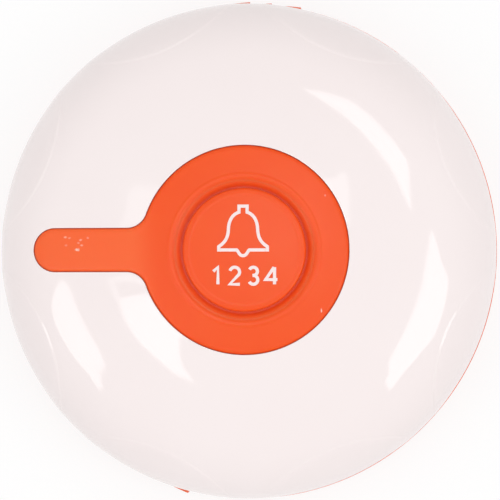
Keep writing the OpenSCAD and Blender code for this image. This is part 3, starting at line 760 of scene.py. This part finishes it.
def cover_rows():
    rows = edge_rows(COVER_GAP, COVER_EDGE, 1, WALL)
    angle = np.arctan2(rows[-1][:, 1], rows[-1][:, 0])
    rows += cover_top(rows, angle)
    outside = len(rows)
    for turn in np.linspace(0, math.pi / 2, 5)[1:]:
        r = rim_r - RIM_EDGE * (1 - math.cos(turn))
        rows.append(ring_row(r, cover_low + RIM_EDGE * (1 - math.sin(turn)), angle))
    inside = [
        (SEAL_GROOVE_R, cover_low), (SEAL_GROOVE_R, LIP_HIGH), (LIP_R, LIP_HIGH), (LIP_R, LIP_LOW),
        (SKIRT_R, LIP_LOW), (SKIRT_R, rib_low), (SKIRT_IN_R, rib_low), (SKIRT_IN_R, LEDGE_Z),
    ]
    rows += [ring_row(r, z, angle) for r, z in inside]
    s_ledge = along(rim_r - WALL, WALL)
    s_hole = along(np.hypot(*rows[0][:, :2].T), WALL)
    for t in np.linspace(0, 1, 12)[:-1]:
        r, z = dome(s_ledge + (s_hole - s_ledge) * t, WALL)[:2]
        rows.append(ring_row(r, np.maximum(z, LEDGE_Z), angle))
    return rows, outside


# %% [markdown]
# ## The facets, by rule
# The plain dome is pressed in by a Geometry Nodes tree. It finds how far each point of the outer skin
# lies inside the arc of its nearest facet. From that depth it raises a thin ledge along the arc and then
# sinks the facet slowly towards the rim. The number of facets and every size are inputs of the tree.

# %% A tree that presses facets into a round cover
LEDGE_H, LEDGE_W = 0.13 * MM, 0.42 * MM
SINK, SINK_W = 0.3 * MM, 4 * MM
AT_RIM = 0.12


def facet_recipe():
    sizes = ("Count", "Arc", "Middle", "Ledge", "Ledge_Width", "Sink", "Sink_Width", "At_Rim")
    tree = Recipe("facets_round_a_rim", **dict.fromkeys(sizes, "Float"))
    count, arc, middle, ledge, ledge_width, sink, sink_width, at_rim = (tree.given[size] for size in sizes)
    place = tree.node("GeometryNodeInputPosition")
    apart = tree.node("SeparateXYZ", {}, {0: place}).socket.node.outputs
    x, y = Wire(tree, apart["X"]), Wire(tree, apart["Y"])
    share = x.maths("ARCTAN2", y, x) * count / math.tau - 0.5
    turn = (share - share.maths("ROUND")) / count * math.tau
    r = (x * x + y * y).maths("SQRT")
    off_x, off_y = r * turn.maths("COSINE") - middle, r * turn.maths("SINE")
    depth = arc - (off_x * off_x + off_y * off_y).maths("SQRT")
    press = (sink + ledge) * depth.over(0, sink_width) - ledge * depth.over(0, ledge_width)
    normal = tree.node("GeometryNodeInputNormal")
    up = Wire(tree, tree.node("SeparateXYZ", {}, {0: normal}).socket.node.outputs["Z"])
    outside = tree.node("GeometryNodeInputNamedAttribute", {"data_type": "FLOAT"}, {"Name": "outside"})
    amount = press * (at_rim + (1 - at_rim) * up) * outside * -1
    shift = tree.node("VectorMath", {"operation": "SCALE"}, {0: normal, "Scale": amount})
    tree.ends_in(tree.node("GeometryNodeSetPosition", {}, {"Geometry": tree.given["Shape"], "Offset": shift}))
    return tree


rows, outside = cover_rows()
plain = skin(rows)
mask = plain.attributes.new("outside", "FLOAT", "POINT")
mask.data.foreach_set("value", np.repeat(np.arange(len(rows)) < outside, len(edge)).astype(np.float32))
tidied(plain, FINISHES["cover_white"])
faceted = facet_recipe().mesh(
    plain, Finish=FINISHES["cover_white"], Count=FACETS, Arc=FACET_R, Middle=FACET_MIDDLE,
    Ledge=LEDGE_H, Ledge_Width=LEDGE_W, Sink=SINK, Sink_Width=SINK_W, At_Rim=AT_RIM)
piece_of("cover_shell", faceted, "housing", "cover_white", ["top_cover"])

# %% [markdown]
# ## Under the cover
# Three ribs turn in under the lugs of the base, each with a block that stops it. Four bosses take the
# screws of the chassis, and seven pegs are melted over to hold the plate that clamps the silicone. All of
# them repeat about the axis, so each is built once and a ring recipe makes the copies.

# %% Ribs and their stops
RIB_R = rim_r - 3 * MM
RIB_T = 1.3 * MM
RIB_HALF = 12
STOP_FROM, STOP_TO = 13.6, 17
LUGS = 3
WELD = 0.2 * MM


def bent_block(r_in, r_out, low, high, start, end, steps=24):
    """A block bent round the axis, from one angle to another in degrees."""
    angle = np.radians(np.linspace(start, end, steps))
    loop = [(r_in, low), (r_out, low), (r_out, high), (r_in, high)]
    return capped(skin([ring_row(r, z, angle) for r, z in loop], around=False))


def under_cover(name, mesh, count, first, step):
    """Copies of a mesh at equal steps about the axis, in degrees, as a piece of the cover."""
    turns = {"First": math.radians(first), "Step": math.radians(step)}
    copies = ring_of.mesh(mesh, Finish=FINISHES["cover_white"], Count=count, **turns)
    return piece_of(name, copies, "housing", "cover_white", ["top_cover"])


rib = bent_block(SKIRT_R - WELD, RIB_R, rib_low, rib_low + RIB_T, -RIB_HALF, RIB_HALF)
under_cover("bayonet_ribs", rib, LUGS, 0, 360 / LUGS)
stop = bent_block(SKIRT_R - WELD, RIB_R, rib_low, (LIP_LOW + LIP_HIGH) / 2, STOP_FROM, STOP_TO, 8)
under_cover("bayonet_stops", stop, LUGS, 0, 360 / LUGS)

# %% Bosses for the screws and pegs for the clamp plate
SCREW_AT = 25.5 * MM
SCREWS = 4
BOSS_R, BOSS_HOLE_R = 2.6 * MM, 0.94 * MM
PAST_TIP = 0.4 * MM
BELOW_SKIN = 0.3 * MM
PEG_R, PEG_HEAD_R, PEG_HEAD_H = 0.8 * MM, 1.3 * MM, 0.4 * MM
PEG_AT = RING_R + FLANGE_W + PEG_R + 1 * MM
SIDE_PEG_X = TONGUE_X - 4.4 * MM
SIDE_PEG_Y = TONGUE_R + FLANGE_W + PEG_R + 0.85 * MM
side_peg_at = math.hypot(SIDE_PEG_X, SIDE_PEG_Y)
side_peg_turn = math.degrees(math.atan2(SIDE_PEG_Y, SIDE_PEG_X))
PLATE_LOW = WALL + 2.22 * MM
screw_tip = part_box("chassis_screws")[1].z


def boss():
    top = float(height(SCREW_AT + BOSS_R)) - BELOW_SKIN
    hole = screw_tip + PAST_TIP
    line = rounded([
        (0, hole, 0), (BOSS_HOLE_R, hole, 0), (BOSS_HOLE_R, board_top, 0.15 * MM),
        (BOSS_R, board_top, 0.3 * MM), (BOSS_R, top, 0), (0, top, 0)])
    return shifted(turned(line, 48), SCREW_AT)


def peg(at):
    low = float(height(at + PEG_HEAD_R, PLATE_LOW)) - PEG_HEAD_H
    top = float(height(at + PEG_R)) - BELOW_SKIN
    line = rounded([
        (0, low, 0), (PEG_HEAD_R, low, 0.3 * MM), (PEG_HEAD_R, low + PEG_HEAD_H, 0.08 * MM),
        (PEG_R, low + PEG_HEAD_H, 0), (PEG_R, top, 0), (0, top, 0)])
    return shifted(turned(line, 32), at)


under_cover("screw_bosses", boss(), SCREWS, 45, 360 / SCREWS)
under_cover("clamp_pegs_right", peg(PEG_AT), 3, -62, 62)
under_cover("clamp_pegs_left", peg(PEG_AT), 2, 118, 124)
under_cover("clamp_pegs_tongue", peg(side_peg_at), 2, 180 - side_peg_turn, 2 * side_peg_turn)

# %% [markdown]
# ## The silicone keyhole
# The surround is soft, so none of its edges is sharp. Its outline rolls down into the gap along the
# cover, and round the groove it has a rolled lip that leads down into the web.

# %% The silicone surround
SOFT_GAP = 0.02 * MM
SOFT_EDGE = 0.55 * MM
LIP_ROLL = 0.6 * MM
LIP_BEAD = 0.05 * MM
BEAD_W = 0.8 * MM
GROOVE_DEPTH = 0.22 * MM
FLANGE_T = 1 * MM


def surround_rows():
    rows = edge_rows(SOFT_GAP, SOFT_EDGE, -1, WALL)
    start, angle = np.hypot(*rows[-1][:, :2].T), np.arctan2(rows[-1][:, 1], rows[-1][:, 0])
    lip = GROOVE_R + LIP_ROLL
    near = lip + BEAD_W
    for t in np.linspace(0, 1, 20)[1:]:
        r = start + (near - start) * t
        rows.append(ring_row(r, height(r), angle))
    for r in np.linspace(near, GROOVE_R, 30)[1:]:
        up = LIP_BEAD * bead((r - lip + 0.1 * MM) / BEAD_W) - GROOVE_DEPTH * smooth((lip - r) / LIP_ROLL)
        rows.append(ring_row(r, height(r) + up, angle))
    rows.append(ring_row(GROOVE_R, web_top, angle))
    under = WALL + FLANGE_T
    flange = edge + FLANGE_W * edge_out
    flange_at = np.hypot(*flange.T)
    for t in np.linspace(0, 1, 8)[:-1]:
        r = GROOVE_R + (flange_at - GROOVE_R) * t
        rows.append(ring_row(r, height(r, under), angle))
    rows.append(np.column_stack([flange, height(flange_at, under)]))
    rows.append(np.column_stack([flange, height(flange_at, WALL)]))
    return rows


piece_of("silicone_surround", skin(surround_rows()), "housing", "keypad_orange", ["rubber_surround"])

# %% [markdown]
# ## The push disc
# The disc is turned: one half section goes once round the axis. It follows the crown, has a faint raised
# bead just inside its edge, rolls over there, and has a stem below that meets the switch.

# %% The push disc
DISC_EDGE = 0.5 * MM
DISC_BEAD = 0.035 * MM
STEM_R = 3 * MM
disc_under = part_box("push_disc")[0].z


def disc_line():
    flat = disc_r - DISC_EDGE
    line = []
    for r in [*np.linspace(0, flat - 0.9 * MM, 20), *np.linspace(flat - BEAD_W, flat, 10)]:
        line.append((r, float(height(r)) + DISC_BEAD * float(bead((r - flat + 0.7 * MM) / BEAD_W))))
    edge_z = line[-1][1] - DISC_EDGE
    for turn in np.linspace(0, math.pi / 2, 10)[1:]:
        line.append((flat + DISC_EDGE * math.sin(turn), edge_z + DISC_EDGE * math.cos(turn)))
    below = [(disc_r, edge_z, 0), (disc_r, disc_low, 0.2 * MM), (STEM_R, disc_low, 0.15 * MM)]
    return line + rounded(below + [(STEM_R, disc_under, 0.15 * MM), (0, disc_under, 0)])[1:]


piece_of("push_disc_cap", turned(disc_line()), "button", "keypad_orange", ["push_disc"])

# %% [markdown]
# ## The web in the groove
# A thin web of silicone joins the disc to the surround. It falls away towards the disc. The web is cut into
# short sectors that share their edges, so no seam shows.

# %% The web
WEB_SECTORS = 24
WEB_FALL = 0.42 * MM
WEB_ARCH = 0.6 * MM


def web_sector(index):
    span = math.tau / WEB_SECTORS
    angle = np.linspace(index * span, (index + 1) * span, 9)
    t = np.linspace(0, 1, 17)
    radii = GROOVE_R + (disc_r - GROOVE_R) * t
    top = height(GROOVE_R) - GROOVE_DEPTH - WEB_FALL * smooth(t / 0.85)
    rows = [ring_row(r, z, angle) for r, z in zip(radii, top)]
    rows += [ring_row(r, disc_low + WEB_ARCH * bead(u), angle) for r, u in zip(radii[::-2], t[::-2])]
    sector = piece_of(f"web_{index + 1:02d}", skin(rows, around=False), None, "web_orange", ["flex_web"])
    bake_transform(sector)


for index in range(WEB_SECTORS):
    web_sector(index)

# %% [markdown]
# ## The printed bell and numbers
# The bell is a pictogram printed in one line of even width. Its path is half a bell, mirrored: straight
# strokes and cubic curves. A line of print is a ribbon: the path moved out by half the line's width,
# the path moved in by as much, and a thin layer of ink between them that follows the crown. Under it
# stands a row of plain numbers, drawn as strokes of the same line with the same function.

# %% The path of the bell, in millimetres from the middle of the disc
BELL_X = -0.15
INK_T = 0.05 * MM
LINE_W = 0.48 * MM
INK_BEVEL = 0.02 * MM
INK_LAYER = 0.008 * MM
SHARPEST = 0.5


def curve(a, b, c, d, steps=12):
    t = np.linspace(0, 1, steps, endpoint=False)[:, None]
    a, b, c, d = map(np.array, (a, b, c, d))
    return (1 - t) ** 3 * a + 3 * (1 - t) ** 2 * t * b + 3 * (1 - t) * t**2 * c + t**3 * d


def bell_path():
    foot = (0, -0.87)
    half = np.concatenate([
        [(0.6, 6.45)],
        curve((0.6, 5.55), (1.5, 5.3), (2.1, 4.4), (2.16, 3.1)),
        curve((2.16, 3.1), (2.2, 1.5), (2.9, 0.95), (3.6, 0.46)),
        [(3.6, 0.46), (3.6, -0.02)],
        curve((0.95, -0.02), (0.7, -0.12), (0.6, foot[1]), foot),
    ])
    return (np.concatenate([half * (-1, 1), [foot], half[::-1]]) + (BELL_X, 0)) * MM


def grown(path, distance, closed):
    """A path moved to its right by a distance. A very sharp corner is cut short."""
    edges = np.roll(path, -1, 0) - path
    normal = np.stack([edges[:, 1], -edges[:, 0]], 1) / np.linalg.norm(edges, axis=1)[:, None]
    before = np.roll(normal, 1, 0)
    if not closed:
        normal[-1], before[0] = before[-1], normal[0]
    share = np.maximum(1 + np.sum(before * normal, 1), SHARPEST)
    return path + distance * (before + normal) / share[:, None]


def printed(path, lift):
    """Points of a path laid on the crown, lifted off it."""
    return np.column_stack([path, height(np.hypot(*path.T)) + lift])


def ribbon(path, closed, layer=0):
    """A line of print along a path, with flat ends where the path is open. A later layer lies higher."""
    shoulder = INK_T - INK_BEVEL
    half = [(0, 0), (0, shoulder), (INK_BEVEL, INK_T)]
    section = [(1, *corner) for corner in half] + [(-1, *corner) for corner in half[::-1]]
    rise = layer * INK_LAYER
    rows = []
    for side, cut, lift in section:
        rows.append(printed(grown(path, side * (LINE_W / 2 - cut), closed), rise + lift))
    strip = skin(rows, around=closed)
    return strip if closed else capped(strip)


piece_of("printed_bell", ribbon(bell_path(), True), "button", "ink_white", ["bell_mark"])

# %% The row of numbers
DIGIT_H = 3 * MM
DIGIT_STEP = 2.75 * MM
ROW_Y = -3.83 * MM


def bend(centre, r, start, end, steps=16):
    """Points on an arc, from one angle to another in degrees."""
    angle = np.radians(np.linspace(start, end, steps))
    return list(zip(centre[0] + r * np.cos(angle), centre[1] + r * np.sin(angle)))


def digit_paths():
    """The strokes of 1, 2, 3 and 4: the place in the row, the layer, and the path about its own middle."""
    h = (DIGIT_H - LINE_W) / 2
    w = 0.6 * h
    two_r, upper = 0.95 * w, 0.48 * h
    lower = h - upper
    yield 0, 0, [(-0.55 * w, 0.5 * h), (0.35 * w, h), (0.35 * w, -h)]
    yield 1, 0, bend((0, h - two_r), two_r, 165, -30) + [(-w, -h), (w, -h)]
    yield 2, 0, bend((0, h - upper), upper, 155, -100)
    yield 2, 1, bend((0, lower - h), lower, 102, -155)
    yield 3, 0, [(1.05 * w, -0.45 * h), (-1.25 * w, -0.45 * h), (0.42 * w, h)]
    yield 3, 1, [(0.5 * w, h), (0.5 * w, -h)]


strokes = [
    ribbon(np.array(path) + ((place - 1.5) * DIGIT_STEP, ROW_Y), False, layer)
    for place, layer, path in digit_paths()]
piece_of("printed_numbers", joined(strokes), "button", "ink_white", ["number_mark"])

# %% [markdown]
# ## Screws, springs and leads
# Hidden under the cover, but there when someone opens it: four screws with a cross recess and a rolled
# thread, the battery's conical spring, the copper aerial and the fourteen gull-wing leads of the coder
# chip. The screws go through the ring recipe, the leads through the row recipe and both coils through
# the coil recipe.

# %% Screws of the chassis
SCREW_R, CORE_R, HEAD_R, HEAD_H = 0.9 * MM, 0.72 * MM, 2.2 * MM, 1.2 * MM
THREAD = 0.6 * MM
THREAD_FORM = [(CORE_R, 0), (SCREW_R, 0.4), (SCREW_R, 0.5), (CORE_R, 0.9)]
CROSS_REACH, CROSS_HALF, CROSS_DEPTH = 1.15 * MM, 0.27 * MM, 0.6 * MM
head_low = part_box("chassis_screws")[0].z


def cross(angle, size):
    """The radius of a cross-shaped outline at each angle."""
    x, y = np.maximum(np.abs(np.cos(angle)), 1e-6), np.maximum(np.abs(np.sin(angle)), 1e-6)
    long, half = CROSS_REACH * size, CROSS_HALF * size
    return np.maximum(np.minimum(long / x, half / y), np.minimum(long / y, half / x))


def screw():
    angle = np.linspace(0, math.tau, 96, endpoint=False)
    floor_z, seat = head_low + CROSS_DEPTH, head_low + HEAD_H
    line = [(0, floor_z), (cross(angle, 0.8), floor_z), (cross(angle, 1), head_low)]
    line += rounded([(1.4 * MM, head_low, 0), (HEAD_R, head_low + 0.25 * MM, 0.2 * MM), (HEAD_R, seat, 0)])
    line += [(CORE_R, seat)]
    for low in np.arange(seat + THREAD, screw_tip - THREAD, THREAD):
        line += [(r, low + share * THREAD) for r, share in THREAD_FORM]
    line += [(0.4 * MM, screw_tip), (0, screw_tip)]
    return shifted(skin([ring_row(r, z, angle) for r, z in line], closed=False), SCREW_AT)


steel = FINISHES["screw_steel"]
screws = ring_of.mesh(screw(), Finish=steel, Count=SCREWS, First=math.tau / 8, Step=math.tau / SCREWS)
piece_of("threaded_screws", screws, "housing", "screw_steel", ["chassis_screws"])

# %% The battery's spring and the aerial
SPRING_TURNS, SPRING_R, SPRING_TIP_R, SPRING_WIRE = 2.5, 3.6 * MM, 1.9 * MM, 0.3 * MM
COIL_TURNS, COIL_R, COIL_WIRE = 6, 1.45 * MM, 0.35 * MM
FOOT = (1.2 * MM, 1.6 * MM, 0.25 * MM)
FOOT_EDGE = 0.06 * MM


def block(low, high, bevel):
    """A box between two corners, with its edges rounded off."""
    low, high = Vector(low), Vector(high)
    work = bmesh.new()
    bmesh.ops.create_cube(work, size=1)
    bmesh.ops.scale(work, vec=high - low, verts=work.verts)
    bmesh.ops.translate(work, vec=(low + high) / 2, verts=work.verts)
    bmesh.ops.bevel(work, geom=work.edges[:], offset=bevel, segments=3, affect="EDGES", profile=0.5)
    mesh = bpy.data.meshes.new("block")
    work.to_mesh(mesh)
    work.free()
    return mesh


def aerial_foot(x, y):
    """One foot of the aerial, flat on the board."""
    length, width, thick = FOOT
    low = (x - length / 2, y - width / 2, board_top)
    return block(low, (x + length / 2, y + width / 2, board_top + thick), FOOT_EDGE)


low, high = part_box("contact_spring")
battery_low, battery_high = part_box("battery_can")
battery_z = (battery_low.z + battery_high.z) / 2
spring = coil_of.mesh(
    Finish=FINISHES["sheet_steel"], Turns=SPRING_TURNS, Start=SPRING_R, End=SPRING_TIP_R,
    Length=high.y - low.y - 2 * SPRING_WIRE, Wire=SPRING_WIRE)
spring_at = Matrix.Translation((0, low.y + SPRING_WIRE, battery_z))
spring.transform(spring_at @ Matrix.Rotation(-math.pi / 2, 4, "X"))
piece_of("battery_spring", spring, "housing", "sheet_steel", ["contact_spring"])

low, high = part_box("antenna_coil")
coil_y, coil_z = (low.y + high.y) / 2, board_top + FOOT[2] + COIL_R + COIL_WIRE
half_l = (high.x - low.x - FOOT[0]) / 2
winding = coil_of.mesh(
    Finish=FINISHES["copper"], Turns=COIL_TURNS, Start=COIL_R, End=COIL_R, Length=2 * half_l, Wire=COIL_WIRE)
winding.transform(Matrix.Translation((-half_l, coil_y, coil_z)) @ Matrix.Rotation(math.pi / 2, 4, "Y"))
feet = [aerial_foot(x, coil_y) for x in (-half_l, half_l)]
piece_of("copper_aerial", joined([winding, *feet]), "housing", "copper", ["antenna_coil"])

# %% Gull-wing leads
LEADS_A_SIDE, LEAD_STEP, LEAD_W = 7, 1.27 * MM, 0.4 * MM
LEAD_T, LEAD_KNEE, LEAD_OUT, LEAD_FOOT = 0.15 * MM, 0.75 * MM, 0.5 * MM, 1.05 * MM
low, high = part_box("encoder_leads")
chip_y = (low.y + high.y) / 2
reach = (high.y - low.y) / 2 - LEAD_FOOT


def lead(side):
    """The first lead of one side: out of the chip, down, and out again along the board."""
    bends = [
        (0, LEAD_KNEE, 0), (0, LEAD_KNEE + LEAD_T, 0), (LEAD_OUT + LEAD_T, LEAD_KNEE + LEAD_T, 0.2 * MM),
        (LEAD_OUT + LEAD_T, LEAD_T, 0.06 * MM), (LEAD_FOOT, LEAD_T, 0), (LEAD_FOOT, 0, 0),
        (LEAD_OUT, 0, 0.2 * MM), (LEAD_OUT, LEAD_KNEE, 0.06 * MM)]
    outline = [(chip_y + side * (reach + y), board_top + z) for y, z in rounded(bends)]
    rows = [[(x, y, z) for x in (low.x, low.x + LEAD_W)] for y, z in outline]
    return capped(skin(rows, around=False))


leads = [
    row_of.mesh(lead(side), Finish=FINISHES["sheet_steel"], Count=LEADS_A_SIDE, Step=(LEAD_STEP, 0, 0))
    for side in (-1, 1)]
piece_of("chip_leads", joined(leads), "housing", "sheet_steel", ["encoder_leads"])

# %% [markdown]
# ## The base
# The base is moulded plastic with a slight radius on every edge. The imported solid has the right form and
# sharp edges, so a copy of it is merged, its flat areas are joined up, and a Bevel modifier rounds what
# is left. The same treatment suits the rubber pad.


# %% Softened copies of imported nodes
def softened(name, node, width, body, slot):
    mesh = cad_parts[node].data.copy()
    work = bmesh.new()
    work.from_mesh(mesh)
    bmesh.ops.remove_doubles(work, verts=work.verts, dist=0.002 * MM)
    bmesh.ops.dissolve_limit(work, angle_limit=math.radians(0.5), verts=work.verts, edges=work.edges)
    work.to_mesh(mesh)
    work.free()
    stand_in = placed(name, mesh)
    bevel = stand_in.modifiers.new("edges", "BEVEL")
    bevel.width = width
    bevel.segments = 3
    bevel.limit_method = "ANGLE"
    bevel.angle_limit = math.radians(35)
    ready = bpy.data.meshes.new_from_object(stand_in.evaluated_get(bpy.context.evaluated_depsgraph_get()))
    bpy.data.objects.remove(stand_in)
    return piece_of(name, ready, body, slot, [node])


softened("base_shell", "base", 0.1 * MM, "base", "base_orange")
softened("rubber_pad", "non_slip_pad", 0.2 * MM, "base", "pad_rubber")

# %% [markdown]
# ## Camera
# The photograph looks almost straight down, from slightly right of the middle, with a long lens. The frame is
# square, and the cover's rim nearly fills it.

# %% Camera
SENSOR = 36
FRAME_PX = 500
RIM_PX = 247.5
CAMERA_RISE = 600 * MM
CAMERA_X, CAMERA_Y = 26 * MM, -6 * MM
AIM_X, AIM_Y = 0.22 * MM, 0.12 * MM
rim_z = shoulder_z
frame_width = rim_r * FRAME_PX / RIM_PX

camera = placed("camera", bpy.data.cameras.new("camera"))
bpy.context.scene.camera = camera
camera.location = (CAMERA_X, CAMERA_Y, rim_z + CAMERA_RISE)
camera.rotation_euler.x = math.atan2(AIM_Y - CAMERA_Y, CAMERA_RISE)
camera.rotation_euler.y = math.atan2(CAMERA_X - AIM_X, CAMERA_RISE)
camera.data.sensor_width = SENSOR
camera.data.lens = SENSOR * math.hypot(CAMERA_RISE, CAMERA_X - AIM_X) / frame_width
camera.data.clip_start, camera.data.clip_end = 0.01, 50
print("lens", round(camera.data.lens), "mm")

# %% [markdown]
# ## Light and floor
# The object stands in a white tent of light. The tent is the world's colour. It lights evenly, and rays that
# come from the camera or from a mirror see it as plain white. The floor is white paper: it takes the
# object's shadow, and for the same rays it is mixed with pure white, as in a cut-out studio picture.
# Under the object's pad the paper has a round hole, so that the tent also lights the underside.

# %% World and floor
TENT = 0.74
PAPER_GLOW = 0.85


def seen(graph):
    """1 for rays that come from the camera, off a mirror or through glass, and 0 for the rest."""
    rays = graph.node("LightPath").socket.node.outputs
    kinds = [Wire(graph, rays[f"Is {kind} Ray"]) for kind in ("Camera", "Glossy", "Transmission")]
    return kinds[0].maths("MAXIMUM", kinds[0], kinds[1].maths("MAXIMUM", *kinds[1:]))


class Sky(Graph):
    def __init__(self, world):
        world.use_nodes = True
        self.tree = world.node_tree


world = bpy.data.worlds.new("tent")
bpy.context.scene.world = world
sky = Sky(world)
strength = TENT + (1 - TENT) * seen(sky)
sky.tree.links.new(strength.socket, sky.tree.nodes["Background"].inputs["Strength"])
sky.tree.nodes["Background"].inputs["Color"].default_value = (1, 1, 1, 1)


def floor_finish():
    """White paper from above, and nothing from below, so the underside can be looked at."""
    paper = Finish("floor_paper")
    tooth = paper.noise(0.8 * MM)
    dull = {"Color": (0.92, 0.92, 0.92, 1), "Normal": paper.bump(tooth, 0.01 * MM)}
    matte = paper.node("BsdfDiffuse", {}, dull)
    glow = paper.node("Emission", {}, {"Color": (1, 1, 1, 1), "Strength": 1})
    sheet = paper.node("MixShader", {}, {0: PAPER_GLOW * seen(paper), 1: matte, 2: glow})
    from_below = Wire(paper, paper.node("NewGeometry").socket.node.outputs["Backfacing"])
    clear = paper.node("BsdfTransparent")
    return paper.ends_in(paper.node("MixShader", {}, {0: from_below, 1: sheet, 2: clear}))


FLOOR_R = 4.0
FLOOR_DROP = 0.02 * MM
hole_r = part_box("non_slip_pad")[1].x - 1 * MM
round_about = np.linspace(0, math.tau, 128, endpoint=False)
floor_mesh = skin([ring_row(r, -FLOOR_DROP, round_about) for r in (FLOOR_R, hole_r)], closed=False)
floor_mesh.materials.append(floor_finish())
placed("floor", floor_mesh)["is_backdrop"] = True
print("tent level", TENT)

# %% [markdown]
# ## Light panels
# A polished dome works like a wide mirror, so what stands round it shows. Each bright patch on the cover
# is the mirror image of one panel of light. The outlines of the patches were traced in the
# photograph, and the camera above has the photograph's frame. So each corner of a panel is found by
# following the light back: from the camera through the pixel, off the dome, and on for 1.2 m.

# %% The bright patches: brightness, and corners in pixels of the photograph, from its top left
PATCHES = {
    "crescent": (3.8, [
        (302, 88), (330, 93.5), (352, 101), (372, 117), (392, 139), (408, 161), (410, 185),
        (411.5, 213), (404, 197), (394, 173), (378, 151), (360, 130), (340, 113), (318, 98)]),
    "right": (3.7, [
        (431, 231), (441, 258), (449, 279), (443, 312), (434, 337), (420, 354), (405, 371),
        (390, 391), (386, 384), (388, 362), (400, 340), (412, 315), (421, 288), (427, 255)]),
    "left": (3.6, [
        (62, 280), (54, 292), (51, 306), (55, 324), (62, 338), (74, 357), (90, 376), (99, 391),
        (102, 387), (106, 366), (99, 350), (88, 331), (79, 313), (73, 297), (68, 284)]),
    "window": (3.7, [
        (119, 298), (145, 294), (180, 310), (200, 330), (180, 337), (179, 350), (182, 365),
        (195, 383), (175, 374), (155, 357), (138, 341), (124, 320)]),
    "window_post": (2.4, [(107, 278), (113, 278), (121, 299), (117, 303)]),
    "window_bar": (2.4, [
        (113, 276), (128, 274), (145, 281), (150, 290), (141, 284), (131, 281), (116, 282)]),
    "upper_left": (2.2, [
        (127, 196), (131, 187), (140, 184), (150, 186), (158, 184), (155, 205), (145, 222),
        (118, 227), (126, 212)]),
    "upper_right": (2.6, [
        (322, 178), (336, 178), (339, 172), (346, 172), (349, 182), (350, 225), (343, 215),
        (333, 195)]),
}

# %% From a patch to its panel
PANEL_FAR = 1.2
SIGHT_STEPS = 20


def sight(px, py):
    """The direction in which the camera sees that pixel."""
    across, up = px / FRAME_PX - 0.5, 0.5 - py / FRAME_PX
    ray = Vector((across * SENSOR, up * SENSOR, -camera.data.lens))
    return (camera.rotation_euler.to_matrix() @ ray).normalized()


def mirrored(px, py):
    """The point, 1.2 m from the top of the object, that the dome mirrors to the camera at that pixel."""
    ray = sight(px, py)
    z = top_z
    for _ in range(SIGHT_STEPS):
        spot = camera.location + ray * (z - camera.location.z) / ray.z
        r = math.hypot(spot.x, spot.y)
        z = float(height(r))
    out, up = (float(part) for part in dome(along(r))[2:])
    bounce = ray.reflect(Vector((out * spot.x / r, out * spot.y / r, up)))
    start = spot - Vector((0, 0, top_z))
    ahead = start.dot(bounce)
    return spot + bounce * (math.sqrt(ahead**2 + PANEL_FAR**2 - start.length_squared) - ahead)


def panel(name, level, corners):
    glow = Finish("glow_" + name)
    glow.ends_in(glow.node("Emission", {}, {"Color": (1, 1, 1, 1), "Strength": level}))
    work = bmesh.new()
    face = work.faces.new([work.verts.new(mirrored(*corner)) for corner in corners])
    bmesh.ops.triangulate(work, faces=[face])
    mesh = bpy.data.meshes.new("panel_" + name)
    work.to_mesh(mesh)
    work.free()
    mesh.materials.append(glow.material)
    stand = placed("panel_" + name, mesh)
    stand.visible_camera = False
    stand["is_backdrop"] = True


for name, (level, corners) in PATCHES.items():
    panel(name, level, corners)
print("panels:", len(PATCHES))

# %% [markdown]
# ## The lamp overhead
# One round softbox hangs almost straight above, a little to the right. It makes the flat areas lighter
# than the steep ones, and it lays a broad sheen over the right half of the silicone. Its mirror image
# falls on the keyhole, so the white cover shows no disc of light.

# %% Overhead softbox: compass angle, angle from the vertical, half its width as an angle, brightness
OVERHEAD = {"compass": 50, "fall": 7, "half": 6, "level": 9}


def away(compass, fall):
    """The point at the panels' distance in that direction from the top of the object."""
    compass, fall = math.radians(compass), math.radians(fall)
    ray = Vector((math.cos(compass) * math.sin(fall), math.sin(compass) * math.sin(fall), math.cos(fall)))
    return ray * PANEL_FAR + Vector((0, 0, top_z))


def overhead(compass, fall, half, level):
    lamp = bpy.data.lights.new("overhead", "AREA")
    lamp.shape = "DISK"
    lamp.size = 2 * PANEL_FAR * math.tan(math.radians(half))
    lamp.energy = level * math.pi * math.pi * (lamp.size / 2) ** 2
    box = placed("overhead", lamp)
    box.location = away(compass, fall)
    box.rotation_mode = "QUATERNION"
    box.rotation_quaternion = (Vector((0, 0, top_z)) - box.location).to_track_quat("-Z", "Y")


overhead(**OVERHEAD)
bpy.context.scene.view_settings.view_transform = "Standard"

# %% [markdown]
# ## The dressed model's bounds
# The last call measures the bounds of the dressed model.

# %% Measure the dressed model
low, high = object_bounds()
